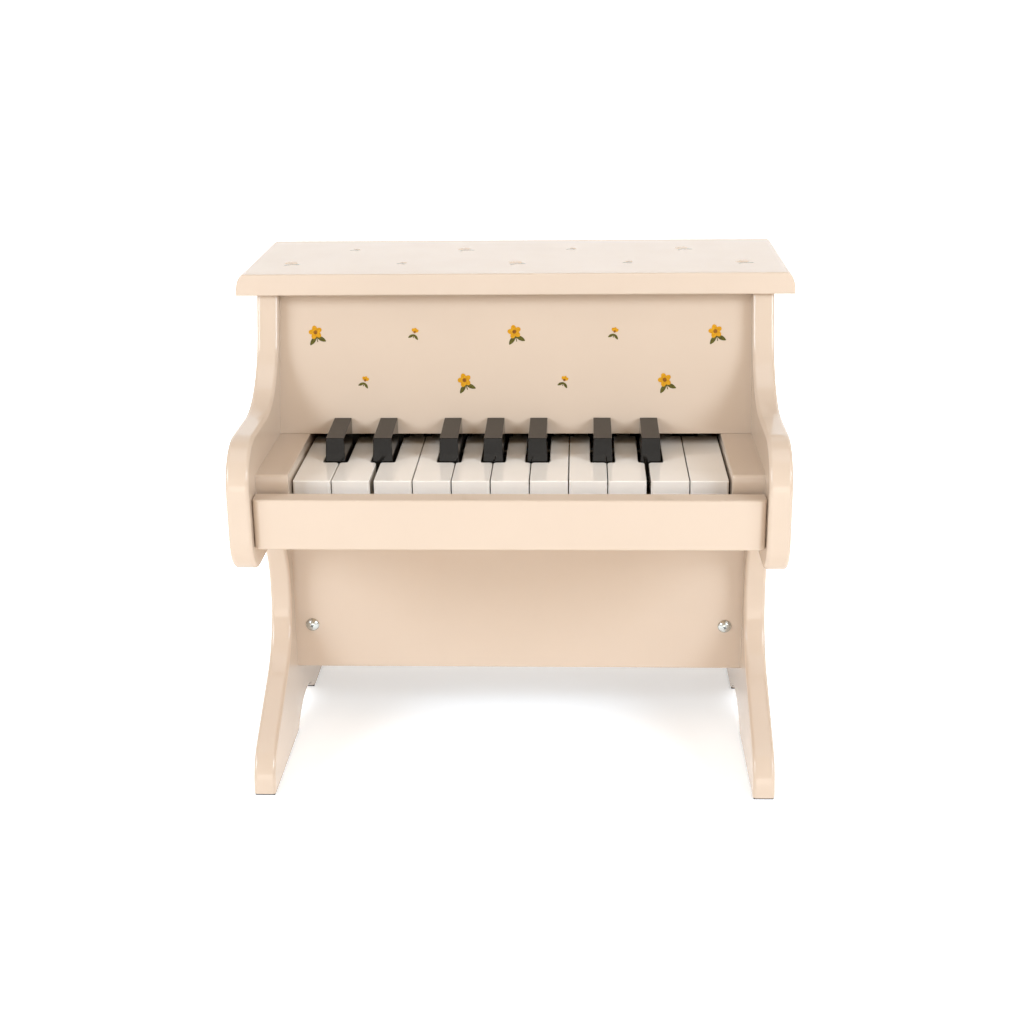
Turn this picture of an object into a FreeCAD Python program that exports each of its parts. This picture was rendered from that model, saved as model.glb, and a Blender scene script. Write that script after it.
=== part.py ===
import FreeCAD, Part
import math
import os

# Toy upright piano with eighteen keys, each striking its own metal bar. Millimetres.
# +Z is up, X runs along the keyboard with the low notes at -X, and the player sits at -Y.
# The origin is on the floor, under the middle of the whole piano.
# A setback is measured backwards from the front of the cheeks, a height upwards from the floor,
# and a rise or a drop from the level of the white keys.

# Overall
WIDTH = 310.0
DEPTH = 218.2
HEIGHT = 274.7
KEYBOARD_HEIGHT_SHARE = 0.658
OVERRUN = 5.0
TINY = 0.01

# Side boards: lid support, leaning shoulder, arm, cheek, hollow, leg, foot and foot arch
SIDE_THICKNESS = 12.0
SIDE_BACK_INSET = 2.0
SIDE_EDGE_ROUND = 2.0
SHOULDER_SETBACK = 112.4
SHOULDER_ROUND = 50.0
ARM_RISE = 26.2
ARM_ROUND = 26.0
CHEEK_DROP = 44.0
CHEEK_ROUND = 19.0
LEG_SETBACK = 97.0
HOLLOW_ROUND = 42.0
KNEE_HEIGHT = 62.2
KNEE_ROUND = 45.0
TOE_SETBACK = 17.6
TOE_HEIGHT = 18.3
TOE_ROUND = 27.0
ARCH_SETBACK = 99.6
ARCH_WIDTH = 59.0
ARCH_HEIGHT = 10.0

# Foot pads
PAD_THICKNESS = 1.0
PAD_WIDTH = 11.0
PAD_MARGIN = 0.8

# Lid
LID_THICKNESS = 12.0
LID_OVERHANG = 11.0
LID_SETBACK = 108.6
LID_END_REACH = 5.0
LID_END_DROP = 11.0
LID_EDGE_ROUND = 0.8
QUARTER_PULL_SHARE = 0.5523

# Upper panel, leaning back with the shoulders
LEAN_DEGREES = 17.2
UPPER_PANEL_SETBACK = 95.95
UPPER_PANEL_THICKNESS = 9.0
UPPER_PANEL_EDGE_ROUND = 0.2

# Front rail and keybed
RAIL_SETBACK = 4.6
RAIL_DEPTH = 12.0
RAIL_HEIGHT = 27.1
RAIL_DROP = 2.7
RAIL_END_ROUND = 4.0
RAIL_EDGE_ROUND = 1.0
RAIL_REAR_ROUND = 1.5
KEYBED_THICKNESS = 10.6

# Key blocks at both ends of the keyboard
KEY_BLOCK_WIDTH = 16.9
KEY_BLOCK_SETBACK = 20.1
KEY_BLOCK_RISE = 5.9
KEY_BLOCK_END_SETBACK = 118.0
KEY_BLOCK_FRONT_ROUND = 1.4
KEY_BLOCK_SIDE_ROUND = 0.6

# Lower panel
LOWER_PANEL_SETBACK = 107.3
LOWER_PANEL_THICKNESS = 9.0
LOWER_PANEL_BOTTOM = 37.7
LOWER_PANEL_EDGE_ROUND = 1.5

# Back panel and the corner cleats
BACK_PANEL_SETBACK = 207.3
BACK_PANEL_THICKNESS = 6.0
CLEAT_SIZE = 15.0
CLEAT_MARGIN = 6.0
UPPER_CLEAT_RISE = 14.2

# Screws through the panels
SCREW_HEAD_RADIUS = 4.0
SCREW_HEAD_HEIGHT = 2.4
SCREW_SHANK_RADIUS = 1.75
SCREW_LENGTH = 19.0
SCREW_RECESS_WIDTH = 0.9
SCREW_RECESS_LENGTH = 4.2
SCREW_RECESS_DEPTH = 1.4
SCREW_EDGE_DISTANCE = 10.0
LOWER_SCREW_HEIGHT = 65.1
BACK_SCREW_MARGIN = 14.0

# Dowels that hold the lid and the front rail to the side boards
DOWEL_RADIUS = 3.0
DOWEL_DEPTH_IN_LID = 6.0
DOWEL_DEPTH_IN_SIDE = 14.0
DOWEL_DEPTH_IN_RAIL = 10.0
RAIL_DOWEL_DEPTH = 7.0
LID_DOWEL_INSET = 16.0
SEAT_CLEARANCE = 0.02

# Keys
WHITE_COUNT = 11
OCTAVE_STEPS = 7
KEY_GAP = 0.55
KEY_SIDE_CLEARANCE = 0.75
END_PAIR_SHIFT = 1.75
MIDDLE_REACH = 3
KEY_BODY_HEIGHT = 11.3
KEY_FRONT_SETBACK = 28.5
KEY_NOTCH_SETBACK = 61.1
KEY_REAR_SETBACK = 104.6
KEY_TONGUE_SETBACK = 110.6
KEY_WALL = 2.0
KEY_CORNER_ROUND = 1.2
NOTCH_CORNER_ROUND = 2.0
KEY_EDGE_ROUND = 0.5
BLACK_WIDTH_SHARE = 0.53
BLACK_TAPER_SHARE = 0.04
BLACK_NOTCH_CLEARANCE = 1.2
BLACK_FRONT_CLEARANCE = 1.3
BLACK_FRONT_SLOPE = 1.2
BLACK_FRONT_RISE = 12.9
BLACK_REAR_RISE = 14.8
BLACK_REAR_CLEARANCE = 0.9
BLACK_EDGE_ROUND = 0.35
BLACK_CROWN_WALL = 4.0
# Sideways place of each black key, as a share of the pitch, by the white key before it in the octave
BLACK_OFFSET_SHARES = {0: -0.11, 1: 0.11, 3: -0.17, 4: 0.0, 5: 0.17}

# Key levers behind and below the caps
LEVER_WIDTH_SHARE = 0.392
LEVER_DROP = 14.8
LEVER_THICKNESS = 9.0
LEVER_FRONT_SETBACK = 68.0
LEVER_END_SETBACK = 187.6
KEY_PIVOT_SETBACK = 110.1
KEY_PIVOT_DROP = 8.8
KEY_ROD_RADIUS = 2.0
KEY_ROD_SEAT = 8.0
RUNNING_CLEARANCE = 0.05

# Balance rail under the keys
BALANCE_RAIL_DEPTH = 8.0
BALANCE_RAIL_HEIGHT = 3.2
LUG_WIDTH = 3.0
LUG_WALL = 3.0

# Felt strips under the keys
STOP_FELT_THICKNESS = 3.2
STOP_FELT_SETBACK = 31.6
STOP_FELT_DEPTH = 12.0
REST_FELT_SETBACK = 167.8
REST_FELT_DEPTH = 12.0
REST_CLEARANCE = 0.2

# Hammers
HAMMER_WIDTH_SHARE = 0.294
HAMMER_PIVOT_SETBACK = 194.8
HAMMER_PIVOT_RISE = 0.2
HAMMER_ROD_RADIUS = 1.5
HAMMER_ROD_SEAT = 6.0
HAMMER_EYE_RADIUS = 4.0
HAMMER_ARM_THICKNESS = 5.0
HAMMER_HEEL_REACH = 10.2
HAMMER_HEEL_RADIUS = 4.0
HAMMER_HEEL_CLEARANCE = 0.3
HAMMER_HEAD_REACH = 42.0
HAMMER_HEAD_RADIUS = 4.0
HAMMER_HEAD_RISE = 9.0
HAMMER_RAIL_GAP = 0.5
HAMMER_RAIL_RISE = 9.2

# Tone bars, their rails, felts and pins
TONE_BAR_WIDTH_SHARE = 0.392
TONE_BAR_THICKNESS = 3.0
TONE_BAR_RISE = 25.4
TONE_BAR_SETBACK = 157.8
LONGEST_TONE_BAR = 86.0
SEMITONES_TO_HALVE_LENGTH = 24
NODE_SHARE = 0.276
TONE_RAIL_WIDTH = 10.0
TONE_RAIL_HEIGHT = 8.0
TONE_FELT_WIDTH = 8.0
TONE_FELT_THICKNESS = 2.0
PIN_RADIUS = 1.2
PIN_CLEARANCE = 0.3
PIN_DEPTH = 6.0
PIN_HEAD_RADIUS = 2.4
PIN_HEAD_HEIGHT = 1.2

# Places that follow from the sizes above
FRONT = -DEPTH / 2
BACK = DEPTH / 2
SIDE_BACK = BACK - SIDE_BACK_INSET
OUTER = WIDTH / 2 - LID_OVERHANG
INNER = OUTER - SIDE_THICKNESS
BOARD_TOP = HEIGHT - LID_THICKNESS
KEY_TOP = KEYBOARD_HEIGHT_SHARE * HEIGHT
ARM_HEIGHT = KEY_TOP + ARM_RISE
CHEEK_HEIGHT = KEY_TOP - CHEEK_DROP
RAIL_TOP = KEY_TOP - RAIL_DROP
RAIL_BOTTOM = RAIL_TOP - RAIL_HEIGHT
KEYBED_TOP = RAIL_BOTTOM + KEYBED_THICKNESS
KEY_BLOCK_TOP = KEY_TOP + KEY_BLOCK_RISE
UPPER_CLEAT_BOTTOM = KEY_TOP + UPPER_CLEAT_RISE
KEYBED_FRONT = FRONT + RAIL_SETBACK + RAIL_DEPTH
BACK_PANEL_FRONT = FRONT + BACK_PANEL_SETBACK
BLOCK_INNER = INNER - KEY_BLOCK_WIDTH
KEY_BOTTOM = KEY_TOP - KEY_BODY_HEIGHT
KEYS_WIDTH = 2 * (BLOCK_INNER - KEY_SIDE_CLEARANCE)
KEY_PITCH = (KEYS_WIDTH - 2 * END_PAIR_SHIFT + KEY_GAP) / WHITE_COUNT
WHITE_WIDTH = KEY_PITCH - KEY_GAP
BLACK_BASE_WIDTH = BLACK_WIDTH_SHARE * KEY_PITCH
LEVER_WIDTH = LEVER_WIDTH_SHARE * KEY_PITCH
LEVER_BOTTOM = KEY_TOP - LEVER_DROP
LEVER_TOP = LEVER_BOTTOM + LEVER_THICKNESS
KEY_PIVOT_HEIGHT = KEY_TOP - KEY_PIVOT_DROP
HAMMER_WIDTH = HAMMER_WIDTH_SHARE * KEY_PITCH
HAMMER_PIVOT_HEIGHT = KEY_TOP + HAMMER_PIVOT_RISE
HAMMER_RAIL_TOP = KEY_TOP + HAMMER_RAIL_RISE
LEAN = math.tan(math.radians(LEAN_DEGREES))
TONE_BAR_WIDTH = TONE_BAR_WIDTH_SHARE * KEY_PITCH
TONE_BAR_BOTTOM = KEY_TOP + TONE_BAR_RISE
TONE_BAR_TOP = TONE_BAR_BOTTOM + TONE_BAR_THICKNESS
TONE_RAIL_TOP = TONE_BAR_BOTTOM - TONE_FELT_THICKNESS
TONE_RAIL_BOTTOM = TONE_RAIL_TOP - TONE_RAIL_HEIGHT
BLACK_SLOT = BLACK_BASE_WIDTH + 2 * BLACK_NOTCH_CLEARANCE


def point(x, y, z):
    """Point or direction in space."""
    return FreeCAD.Vector(x, y, z)


def block(x0, x1, y0, y1, z0, z1):
    """Box between two opposite corners."""
    return Part.makeBox(x1 - x0, y1 - y0, z1 - z0, point(x0, y0, z0))


def bar_x(x0, x1, y, z, radius):
    """Round bar along X."""
    return Part.makeCylinder(radius, x1 - x0, point(x0, y, z), point(1, 0, 0))


def bar_y(x, y0, y1, z, radius):
    """Round bar along Y."""
    return Part.makeCylinder(radius, y1 - y0, point(x, y0, z), point(0, 1, 0))


def bar_z(x, y, z0, z1, radius):
    """Round bar along Z."""
    return Part.makeCylinder(radius, z1 - z0, point(x, y, z0), point(0, 0, 1))


def fused(shapes):
    """One solid from touching shapes."""
    return shapes[0].multiFuse(shapes[1:]).removeSplitter()


def rounded_face(corners, place):
    """Face inside a closed outline of corners (a, b, round); a round is limited by its two sides."""
    count = len(corners)
    flat = [point(a, b, 0) for a, b, radius in corners]
    sides = [flat[(i + 1) % count] - flat[i] for i in range(count)]
    bends = [sides[i - 1].getAngle(sides[i]) for i in range(count)]
    reaches = [corners[i][2] * math.tan(bends[i] / 2) for i in range(count)]
    factors = [1.0] * count
    for i in range(count):
        ahead = (i + 1) % count
        wanted = reaches[i] + reaches[ahead]
        if wanted > sides[i].Length:
            limit = sides[i].Length / wanted
            factors[i] = min(factors[i], limit)
            factors[ahead] = min(factors[ahead], limit)
    edges = []
    starts = []
    for i in range(count):
        reach = reaches[i] * factors[i]
        into = FreeCAD.Vector(sides[i - 1]).normalize()
        out = FreeCAD.Vector(sides[i]).normalize()
        start = flat[i] - into * reach
        end = flat[i] + out * reach
        starts.append((start, end))
        if reach > 0:
            inward = (out - into).normalize()
            radius = reach / math.tan(bends[i] / 2)
            middle = flat[i] + inward * (radius / math.cos(bends[i] / 2) - radius)
            ends = [place(p.x, p.y) for p in (start, middle, end)]
            edges.append(Part.Arc(*ends).toShape())
    for i in range(count):
        a = starts[i][1]
        b = starts[(i + 1) % count][0]
        if (b - a).Length > TINY:
            edges.append(Part.LineSegment(place(a.x, a.y), place(b.x, b.y)).toShape())
    return Part.Face(Part.Wire(Part.__sortEdges__(edges)))


def plate_x(corners, x0, x1):
    """Solid with a rounded outline in Y and Z, from x0 to x1."""
    face = rounded_face(corners, lambda a, b: point(x0, a, b))
    return face.extrude(point(x1 - x0, 0, 0))


def plate_z(corners, z0, z1):
    """Solid with a rounded outline in X and Y, from z0 to z1."""
    face = rounded_face(corners, lambda a, b: point(a, b, z0))
    return face.extrude(point(0, 0, z1 - z0))


def rounded(shape, radius, test):
    """Shape with each edge whose bounding box passes the test rounded over."""
    chosen = [edge for edge in shape.Edges if test(edge.BoundBox)]
    return shape.makeFillet(radius, chosen)


def lean_back(height, from_height):
    """How far a leaning face moves back between two heights."""
    return (height - from_height) * LEAN


def side_outline():
    """Outline of a side board, from the toe round by the arch, back, shoulder, arm, cheek and leg."""
    toe = FRONT + TOE_SETBACK
    leg = FRONT + LEG_SETBACK
    arch_start = FRONT + ARCH_SETBACK
    arch_end = arch_start + ARCH_WIDTH
    arch_slope = 2 * math.atan(ARCH_HEIGHT / (ARCH_WIDTH / 2))
    arch_peak = PAD_THICKNESS + ARCH_WIDTH / 2 * math.tan(arch_slope)
    arch_radius = ARCH_WIDTH / 2 / math.sin(arch_slope)
    shoulder_top = FRONT + SHOULDER_SETBACK
    shoulder_foot = shoulder_top - lean_back(BOARD_TOP, ARM_HEIGHT)
    return [
        (toe, PAD_THICKNESS, 0),
        (arch_start, PAD_THICKNESS, 0),
        ((arch_start + arch_end) / 2, arch_peak, arch_radius),
        (arch_end, PAD_THICKNESS, 0),
        (SIDE_BACK, PAD_THICKNESS, 0),
        (SIDE_BACK, BOARD_TOP, 0),
        (shoulder_top, BOARD_TOP, 0),
        (shoulder_foot, ARM_HEIGHT, SHOULDER_ROUND),
        (FRONT, ARM_HEIGHT, ARM_ROUND),
        (FRONT, CHEEK_HEIGHT, CHEEK_ROUND),
        (leg, CHEEK_HEIGHT, HOLLOW_ROUND),
        (leg, KNEE_HEIGHT, KNEE_ROUND),
        (toe, TOE_HEIGHT, TOE_ROUND),
    ]


def lid_dowel_places():
    """Places of the four dowels between the lid and the side boards."""
    x = (INNER + OUTER) / 2
    front = FRONT + SHOULDER_SETBACK + LID_DOWEL_INSET
    rear = SIDE_BACK - LID_DOWEL_INSET
    return [(side * x, y) for side in (-1, 1) for y in (front, rear)]


def rail_dowel_place():
    """Place of the dowel in each end of the front rail."""
    return FRONT + RAIL_SETBACK + RAIL_DEPTH / 2, (RAIL_BOTTOM + RAIL_TOP) / 2


def side_board(side):
    """Side board: rounded edges, dowel holes and the blind hole for the hammer rod."""
    low, high = sorted((side * INNER, side * OUTER))
    board = plate_x(side_outline(), low, high)

    def visible(box):
        on_face = box.XLength < TINY
        under_lid = box.ZMin > BOARD_TOP - TINY
        on_pads = box.ZMax < PAD_THICKNESS + TINY
        at_back = box.YMin > SIDE_BACK - TINY
        return on_face and not (under_lid or on_pads or at_back)

    board = rounded(board, SIDE_EDGE_ROUND, visible)
    hole = DOWEL_RADIUS + SEAT_CLEARANCE
    holes = []
    for x, y in lid_dowel_places():
        if x * side > 0:
            holes.append(bar_z(x, y, BOARD_TOP - DOWEL_DEPTH_IN_SIDE, BOARD_TOP + OVERRUN, hole))
    y, z = rail_dowel_place()
    ends = sorted((side * (INNER - OVERRUN), side * (INNER + RAIL_DOWEL_DEPTH)))
    holes.append(bar_x(ends[0], ends[1], y, z, hole))
    ends = sorted((side * (INNER - OVERRUN), side * (INNER + HAMMER_ROD_SEAT)))
    rod_y = FRONT + HAMMER_PIVOT_SETBACK
    rod_hole = HAMMER_ROD_RADIUS + SEAT_CLEARANCE
    holes.append(bar_x(ends[0], ends[1], rod_y, HAMMER_PIVOT_HEIGHT, rod_hole))
    return board.cut(holes)


def lid():
    """Lid with a falling oval curve at both ends, softened along its front and back."""
    front = FRONT + LID_SETBACK
    half = WIDTH / 2
    drop = min(LID_END_DROP, LID_THICKNESS - LID_EDGE_ROUND)
    shoulder = half - LID_END_REACH
    low = HEIGHT - drop
    lines = [(-shoulder, HEIGHT, shoulder, HEIGHT), (-half, BOARD_TOP, half, BOARD_TOP)]
    edges = []
    for side in (-1, 1):
        lines.append((side * half, low, side * half, BOARD_TOP))
        curve = Part.BezierCurve()
        curve.setPoles([
            point(side * shoulder, front, HEIGHT),
            point(side * (shoulder + QUARTER_PULL_SHARE * LID_END_REACH), front, HEIGHT),
            point(side * half, front, low + QUARTER_PULL_SHARE * drop),
            point(side * half, front, low),
        ])
        edges.append(curve.toShape())
    for x0, z0, x1, z1 in lines:
        edges.append(Part.LineSegment(point(x0, front, z0), point(x1, front, z1)).toShape())
    face = Part.Face(Part.Wire(Part.__sortEdges__(edges)))
    board = face.extrude(point(0, BACK - front, 0))

    def rim(box):
        at_front = box.YMax < front + TINY
        at_back = box.YMin > BACK - TINY
        return at_front or at_back

    board = rounded(board, LID_EDGE_ROUND, rim)
    hole = DOWEL_RADIUS + SEAT_CLEARANCE
    holes = [bar_z(x, y, BOARD_TOP - OVERRUN, BOARD_TOP + DOWEL_DEPTH_IN_LID, hole)
             for x, y in lid_dowel_places()]
    return board.cut(holes)


def upper_panel():
    """Leaning panel between the shoulders, standing on the key blocks."""
    foot = FRONT + UPPER_PANEL_SETBACK
    top = foot + lean_back(BOARD_TOP, KEY_BLOCK_TOP)
    level = UPPER_PANEL_THICKNESS / math.cos(math.radians(LEAN_DEGREES))
    corners = [
        (foot, KEY_BLOCK_TOP, UPPER_PANEL_EDGE_ROUND),
        (foot + level, KEY_BLOCK_TOP, 0),
        (top + level, BOARD_TOP, 0),
        (top, BOARD_TOP, 0),
    ]
    return plate_x(corners, -INNER, INNER)


def front_rail():
    """Rail in front of the keys, with wide rounds at its ends and a dowel hole in each."""
    front = FRONT + RAIL_SETBACK
    rail = block(-INNER, INNER, front, KEYBED_FRONT, RAIL_BOTTOM, RAIL_TOP)
    rail = rounded(rail, RAIL_END_ROUND, lambda box: box.YMax < front + TINY and box.XLength < TINY)
    rail = rounded(rail, RAIL_EDGE_ROUND, lambda box: box.YMin < front + TINY and box.ZLength < TINY)

    def upper_rear(box):
        return box.YMin > KEYBED_FRONT - TINY and box.ZMin > RAIL_TOP - TINY

    rail = rounded(rail, RAIL_REAR_ROUND, upper_rear)
    y, z = rail_dowel_place()
    hole = DOWEL_RADIUS + SEAT_CLEARANCE
    depth = INNER - DOWEL_DEPTH_IN_RAIL
    holes = [bar_x(-INNER - OVERRUN, -depth, y, z, hole), bar_x(depth, INNER + OVERRUN, y, z, hole)]
    return rail.cut(holes)


def key_block(side):
    """Block at one end of the keyboard, with the seat of the key rod."""
    low, high = sorted((side * BLOCK_INNER, side * INNER))
    front = FRONT + KEY_BLOCK_SETBACK
    end = FRONT + KEY_BLOCK_END_SETBACK
    body = block(low, high, front, end, KEYBED_TOP, KEY_BLOCK_TOP)

    def at_front(box):
        return box.ZMin > KEY_BLOCK_TOP - TINY and box.YMax < front + TINY

    def at_keys(box):
        beside = abs(box.XMin - side * BLOCK_INNER) < TINY and box.XLength < TINY
        return beside and box.ZMax > KEY_BLOCK_TOP - TINY and box.YLength > TINY

    body = rounded(body, KEY_BLOCK_FRONT_ROUND, at_front)
    body = rounded(body, KEY_BLOCK_SIDE_ROUND, at_keys)
    ends = sorted((side * (BLOCK_INNER - OVERRUN), side * (BLOCK_INNER + KEY_ROD_SEAT)))
    rod_y = FRONT + KEY_PIVOT_SETBACK
    return body.cut(bar_x(ends[0], ends[1], rod_y, KEY_PIVOT_HEIGHT, KEY_ROD_RADIUS + SEAT_CLEARANCE))


def keybed():
    """Board that carries the keyboard and the striking action."""
    return block(-INNER, INNER, KEYBED_FRONT, BACK_PANEL_FRONT, RAIL_BOTTOM, KEYBED_TOP)


def screw_places():
    """Front and back screws as (x, y of the face, z, direction into the wood)."""
    x = INNER - SCREW_EDGE_DISTANCE
    front = FRONT + LOWER_PANEL_SETBACK
    back = BACK_PANEL_FRONT + BACK_PANEL_THICKNESS
    heights = []
    for low, high in cleat_spans():
        heights += [low + BACK_SCREW_MARGIN, high - BACK_SCREW_MARGIN]
    places = []
    for side in (-1, 1):
        places.append((side * x, front, LOWER_SCREW_HEIGHT, 1))
        places += [(side * x, back, z, -1) for z in heights]
    return places


def screw_hole(x, y, z, into):
    """Clear hole for one screw."""
    ends = sorted((y - into * OVERRUN, y + into * SCREW_LENGTH))
    return bar_y(x, ends[0], ends[1], z, SCREW_SHANK_RADIUS + SEAT_CLEARANCE)


def panel_screws():
    """Pan-head cross-recess screws of the lower panel and the back panel."""
    solids = []
    for x, y, z, into in screw_places():
        shank = sorted((y, y + into * (SCREW_LENGTH - SEAT_CLEARANCE)))
        outside = y - into * SCREW_HEAD_HEIGHT
        head = sorted((y, outside))
        cap = bar_y(x, head[0], head[1], z, SCREW_HEAD_RADIUS)

        def outer_rim(box, outside=outside):
            return box.YLength < TINY and abs(box.YMin - outside) < TINY

        cap = rounded(cap, SCREW_HEAD_HEIGHT / 2, outer_rim)
        recess = sorted((outside - into * OVERRUN, outside + into * SCREW_RECESS_DEPTH))
        long = SCREW_RECESS_LENGTH / 2
        short = SCREW_RECESS_WIDTH / 2
        cross = block(x - long, x + long, recess[0], recess[1], z - short, z + short)
        cross = cross.fuse(block(x - short, x + short, recess[0], recess[1], z - long, z + long))
        solids.append(fused([cap, bar_y(x, shank[0], shank[1], z, SCREW_SHANK_RADIUS)]).cut(cross))
    return Part.makeCompound(solids)


def lower_panel():
    """Panel under the keyboard, between the legs."""
    front = FRONT + LOWER_PANEL_SETBACK
    corners = [
        (front, LOWER_PANEL_BOTTOM, LOWER_PANEL_EDGE_ROUND),
        (front + LOWER_PANEL_THICKNESS, LOWER_PANEL_BOTTOM, LOWER_PANEL_EDGE_ROUND),
        (front + LOWER_PANEL_THICKNESS, RAIL_BOTTOM, 0),
        (front, RAIL_BOTTOM, 0),
    ]
    panel = plate_x(corners, -INNER, INNER)
    return panel.cut([screw_hole(*place) for place in screw_places() if place[3] > 0])


def back_panel():
    """Thin panel that closes the back between the side boards."""
    rear = BACK_PANEL_FRONT + BACK_PANEL_THICKNESS
    panel = block(-INNER, INNER, BACK_PANEL_FRONT, rear, LOWER_PANEL_BOTTOM, BOARD_TOP)
    return panel.cut([screw_hole(*place) for place in screw_places() if place[3] < 0])


def cleat_spans():
    """Lowest and highest points of the lower and the upper cleats."""
    lower = (LOWER_PANEL_BOTTOM + CLEAT_MARGIN, RAIL_BOTTOM)
    upper = (UPPER_CLEAT_BOTTOM, BOARD_TOP)
    return [lower, upper]


def corner_cleats():
    """Wooden strips in the corners that the panels are screwed to."""
    lower, upper = cleat_spans()
    behind_lower = FRONT + LOWER_PANEL_SETBACK + LOWER_PANEL_THICKNESS
    before_back = BACK_PANEL_FRONT - CLEAT_SIZE
    holes = [screw_hole(*place) for place in screw_places()]
    solids = []
    for side in (-1, 1):
        low, high = sorted((side * (INNER - CLEAT_SIZE), side * INNER))
        for y, span in ((behind_lower, lower), (before_back, lower), (before_back, upper)):
            solids.append(block(low, high, y, y + CLEAT_SIZE, span[0], span[1]).cut(holes))
    return Part.makeCompound(solids)


def case_dowels():
    """Wooden dowels of the lid and the front rail."""
    solids = [bar_z(x, y, BOARD_TOP - DOWEL_DEPTH_IN_SIDE, BOARD_TOP + DOWEL_DEPTH_IN_LID, DOWEL_RADIUS)
              for x, y in lid_dowel_places()]
    y, z = rail_dowel_place()
    for side in (-1, 1):
        ends = sorted((side * (INNER - DOWEL_DEPTH_IN_RAIL), side * (INNER + RAIL_DOWEL_DEPTH)))
        solids.append(bar_x(ends[0], ends[1], y, z, DOWEL_RADIUS))
    return Part.makeCompound(solids)


def foot_pads():
    """Thin pads under the front and rear foot of each side board."""
    x = (INNER + OUTER) / 2
    arch = FRONT + ARCH_SETBACK
    spans = [
        (FRONT + TOE_SETBACK + PAD_MARGIN, arch - PAD_MARGIN),
        (arch + ARCH_WIDTH + PAD_MARGIN, SIDE_BACK - PAD_MARGIN),
    ]
    half = PAD_WIDTH / 2
    solids = [block(side * x - half, side * x + half, start, end, 0, PAD_THICKNESS)
              for side in (-1, 1) for start, end in spans]
    return Part.makeCompound(solids)


def white_centre(index):
    """Middle of a white key; the outer pairs stand a little apart from the middle group."""
    steps = index - (WHITE_COUNT - 1) / 2
    shift = 0
    if abs(steps) > MIDDLE_REACH:
        shift = math.copysign(END_PAIR_SHIFT, steps)
    return steps * KEY_PITCH + shift


def black_centre(index):
    """Middle of the black key after a white key, or None where the octave has none."""
    step = index % OCTAVE_STEPS
    if step not in BLACK_OFFSET_SHARES or not 0 <= index < WHITE_COUNT - 1:
        return None
    between = (white_centre(index) + white_centre(index + 1)) / 2
    return between + BLACK_OFFSET_SHARES[step] * KEY_PITCH


def white_rear(index):
    """Left and right side of a white key's narrow rear, beside the black keys."""
    left = white_centre(index) - WHITE_WIDTH / 2
    right = left + WHITE_WIDTH
    before = black_centre(index - 1)
    after = black_centre(index)
    if before is not None:
        left = before + BLACK_SLOT / 2
    if after is not None:
        right = after - BLACK_SLOT / 2
    return left, right


def white_lever(index):
    """Middle of a white key's lever: under the rear, kept to one half beside a missing black key."""
    left, right = white_rear(index)
    if black_centre(index - 1) is None and index > 0:
        left = right - WHITE_WIDTH / 2
    if black_centre(index) is None and index < WHITE_COUNT - 1:
        right = left + WHITE_WIDTH / 2
    return (left + right) / 2


def lever_centres():
    """Middles of all levers from low to high."""
    centres = []
    for index in range(WHITE_COUNT):
        centres.append(white_lever(index))
        if black_centre(index) is not None:
            centres.append(black_centre(index))
    return centres


def white_plan(index, inset, corner, notch_corner, rear):
    """Plan outline of a white key, set in by a wall."""
    centre = white_centre(index)
    left = centre - WHITE_WIDTH / 2 + inset
    right = centre + WHITE_WIDTH / 2 - inset
    rear_left, rear_right = white_rear(index)
    rear_left += inset
    rear_right -= inset
    front = FRONT + KEY_FRONT_SETBACK + inset
    notch = FRONT + KEY_NOTCH_SETBACK - inset
    end = rear - inset
    outline = [(left, front, corner), (right, front, corner)]
    if rear_right < right - TINY:
        outline += [(right, notch, notch_corner), (rear_right, notch, corner)]
    outline += [(rear_right, end, 0), (rear_left, end, 0)]
    if rear_left > left + TINY:
        outline += [(rear_left, notch, corner), (left, notch, notch_corner)]
    return outline


def key_lever(centre, top):
    """Lever from under the key cap, over the pivot rod, to the end that lifts the hammer."""
    half = LEVER_WIDTH / 2
    rear = FRONT + KEY_REAR_SETBACK
    rib = block(centre - half, centre + half, FRONT + LEVER_FRONT_SETBACK, rear, KEY_BOTTOM, top)
    tail = block(centre - half, centre + half, FRONT + LEVER_FRONT_SETBACK, FRONT + LEVER_END_SETBACK,
                 LEVER_BOTTOM, LEVER_TOP)
    return [rib, tail]


def key_bore(centre):
    """Running bore for the key rod through one lever."""
    radius = KEY_ROD_RADIUS + RUNNING_CLEARANCE
    ends = (centre - LEVER_WIDTH, centre + LEVER_WIDTH)
    return bar_x(ends[0], ends[1], FRONT + KEY_PIVOT_SETBACK, KEY_PIVOT_HEIGHT, radius)


def white_key(index):
    """White key: hollow moulded cap, whose top reaches under the panel as a tongue, with its lever."""
    rear = FRONT + KEY_REAR_SETBACK
    end = FRONT + KEY_TONGUE_SETBACK
    under_top = KEY_TOP - KEY_WALL
    cap = plate_z(white_plan(index, 0, KEY_CORNER_ROUND, NOTCH_CORNER_ROUND, end), KEY_BOTTOM, KEY_TOP)

    def top_rim(box):
        return box.ZMin > KEY_TOP - TINY and box.YMin < end - TINY

    cap = rounded(cap, KEY_EDGE_ROUND, top_rim)
    hollow = plate_z(white_plan(index, KEY_WALL, 0, 0, rear), KEY_BOTTOM - OVERRUN, under_top)
    left, right = white_rear(index)
    below = block(left - OVERRUN, right + OVERRUN, rear, end + OVERRUN, KEY_BOTTOM - OVERRUN, under_top)
    centre = white_lever(index)
    return fused([cap.cut([hollow, below])] + key_lever(centre, under_top)).cut(key_bore(centre))


def ring(corners):
    """Closed outline through corners."""
    return Part.makePolygon(corners + corners[:1])


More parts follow.
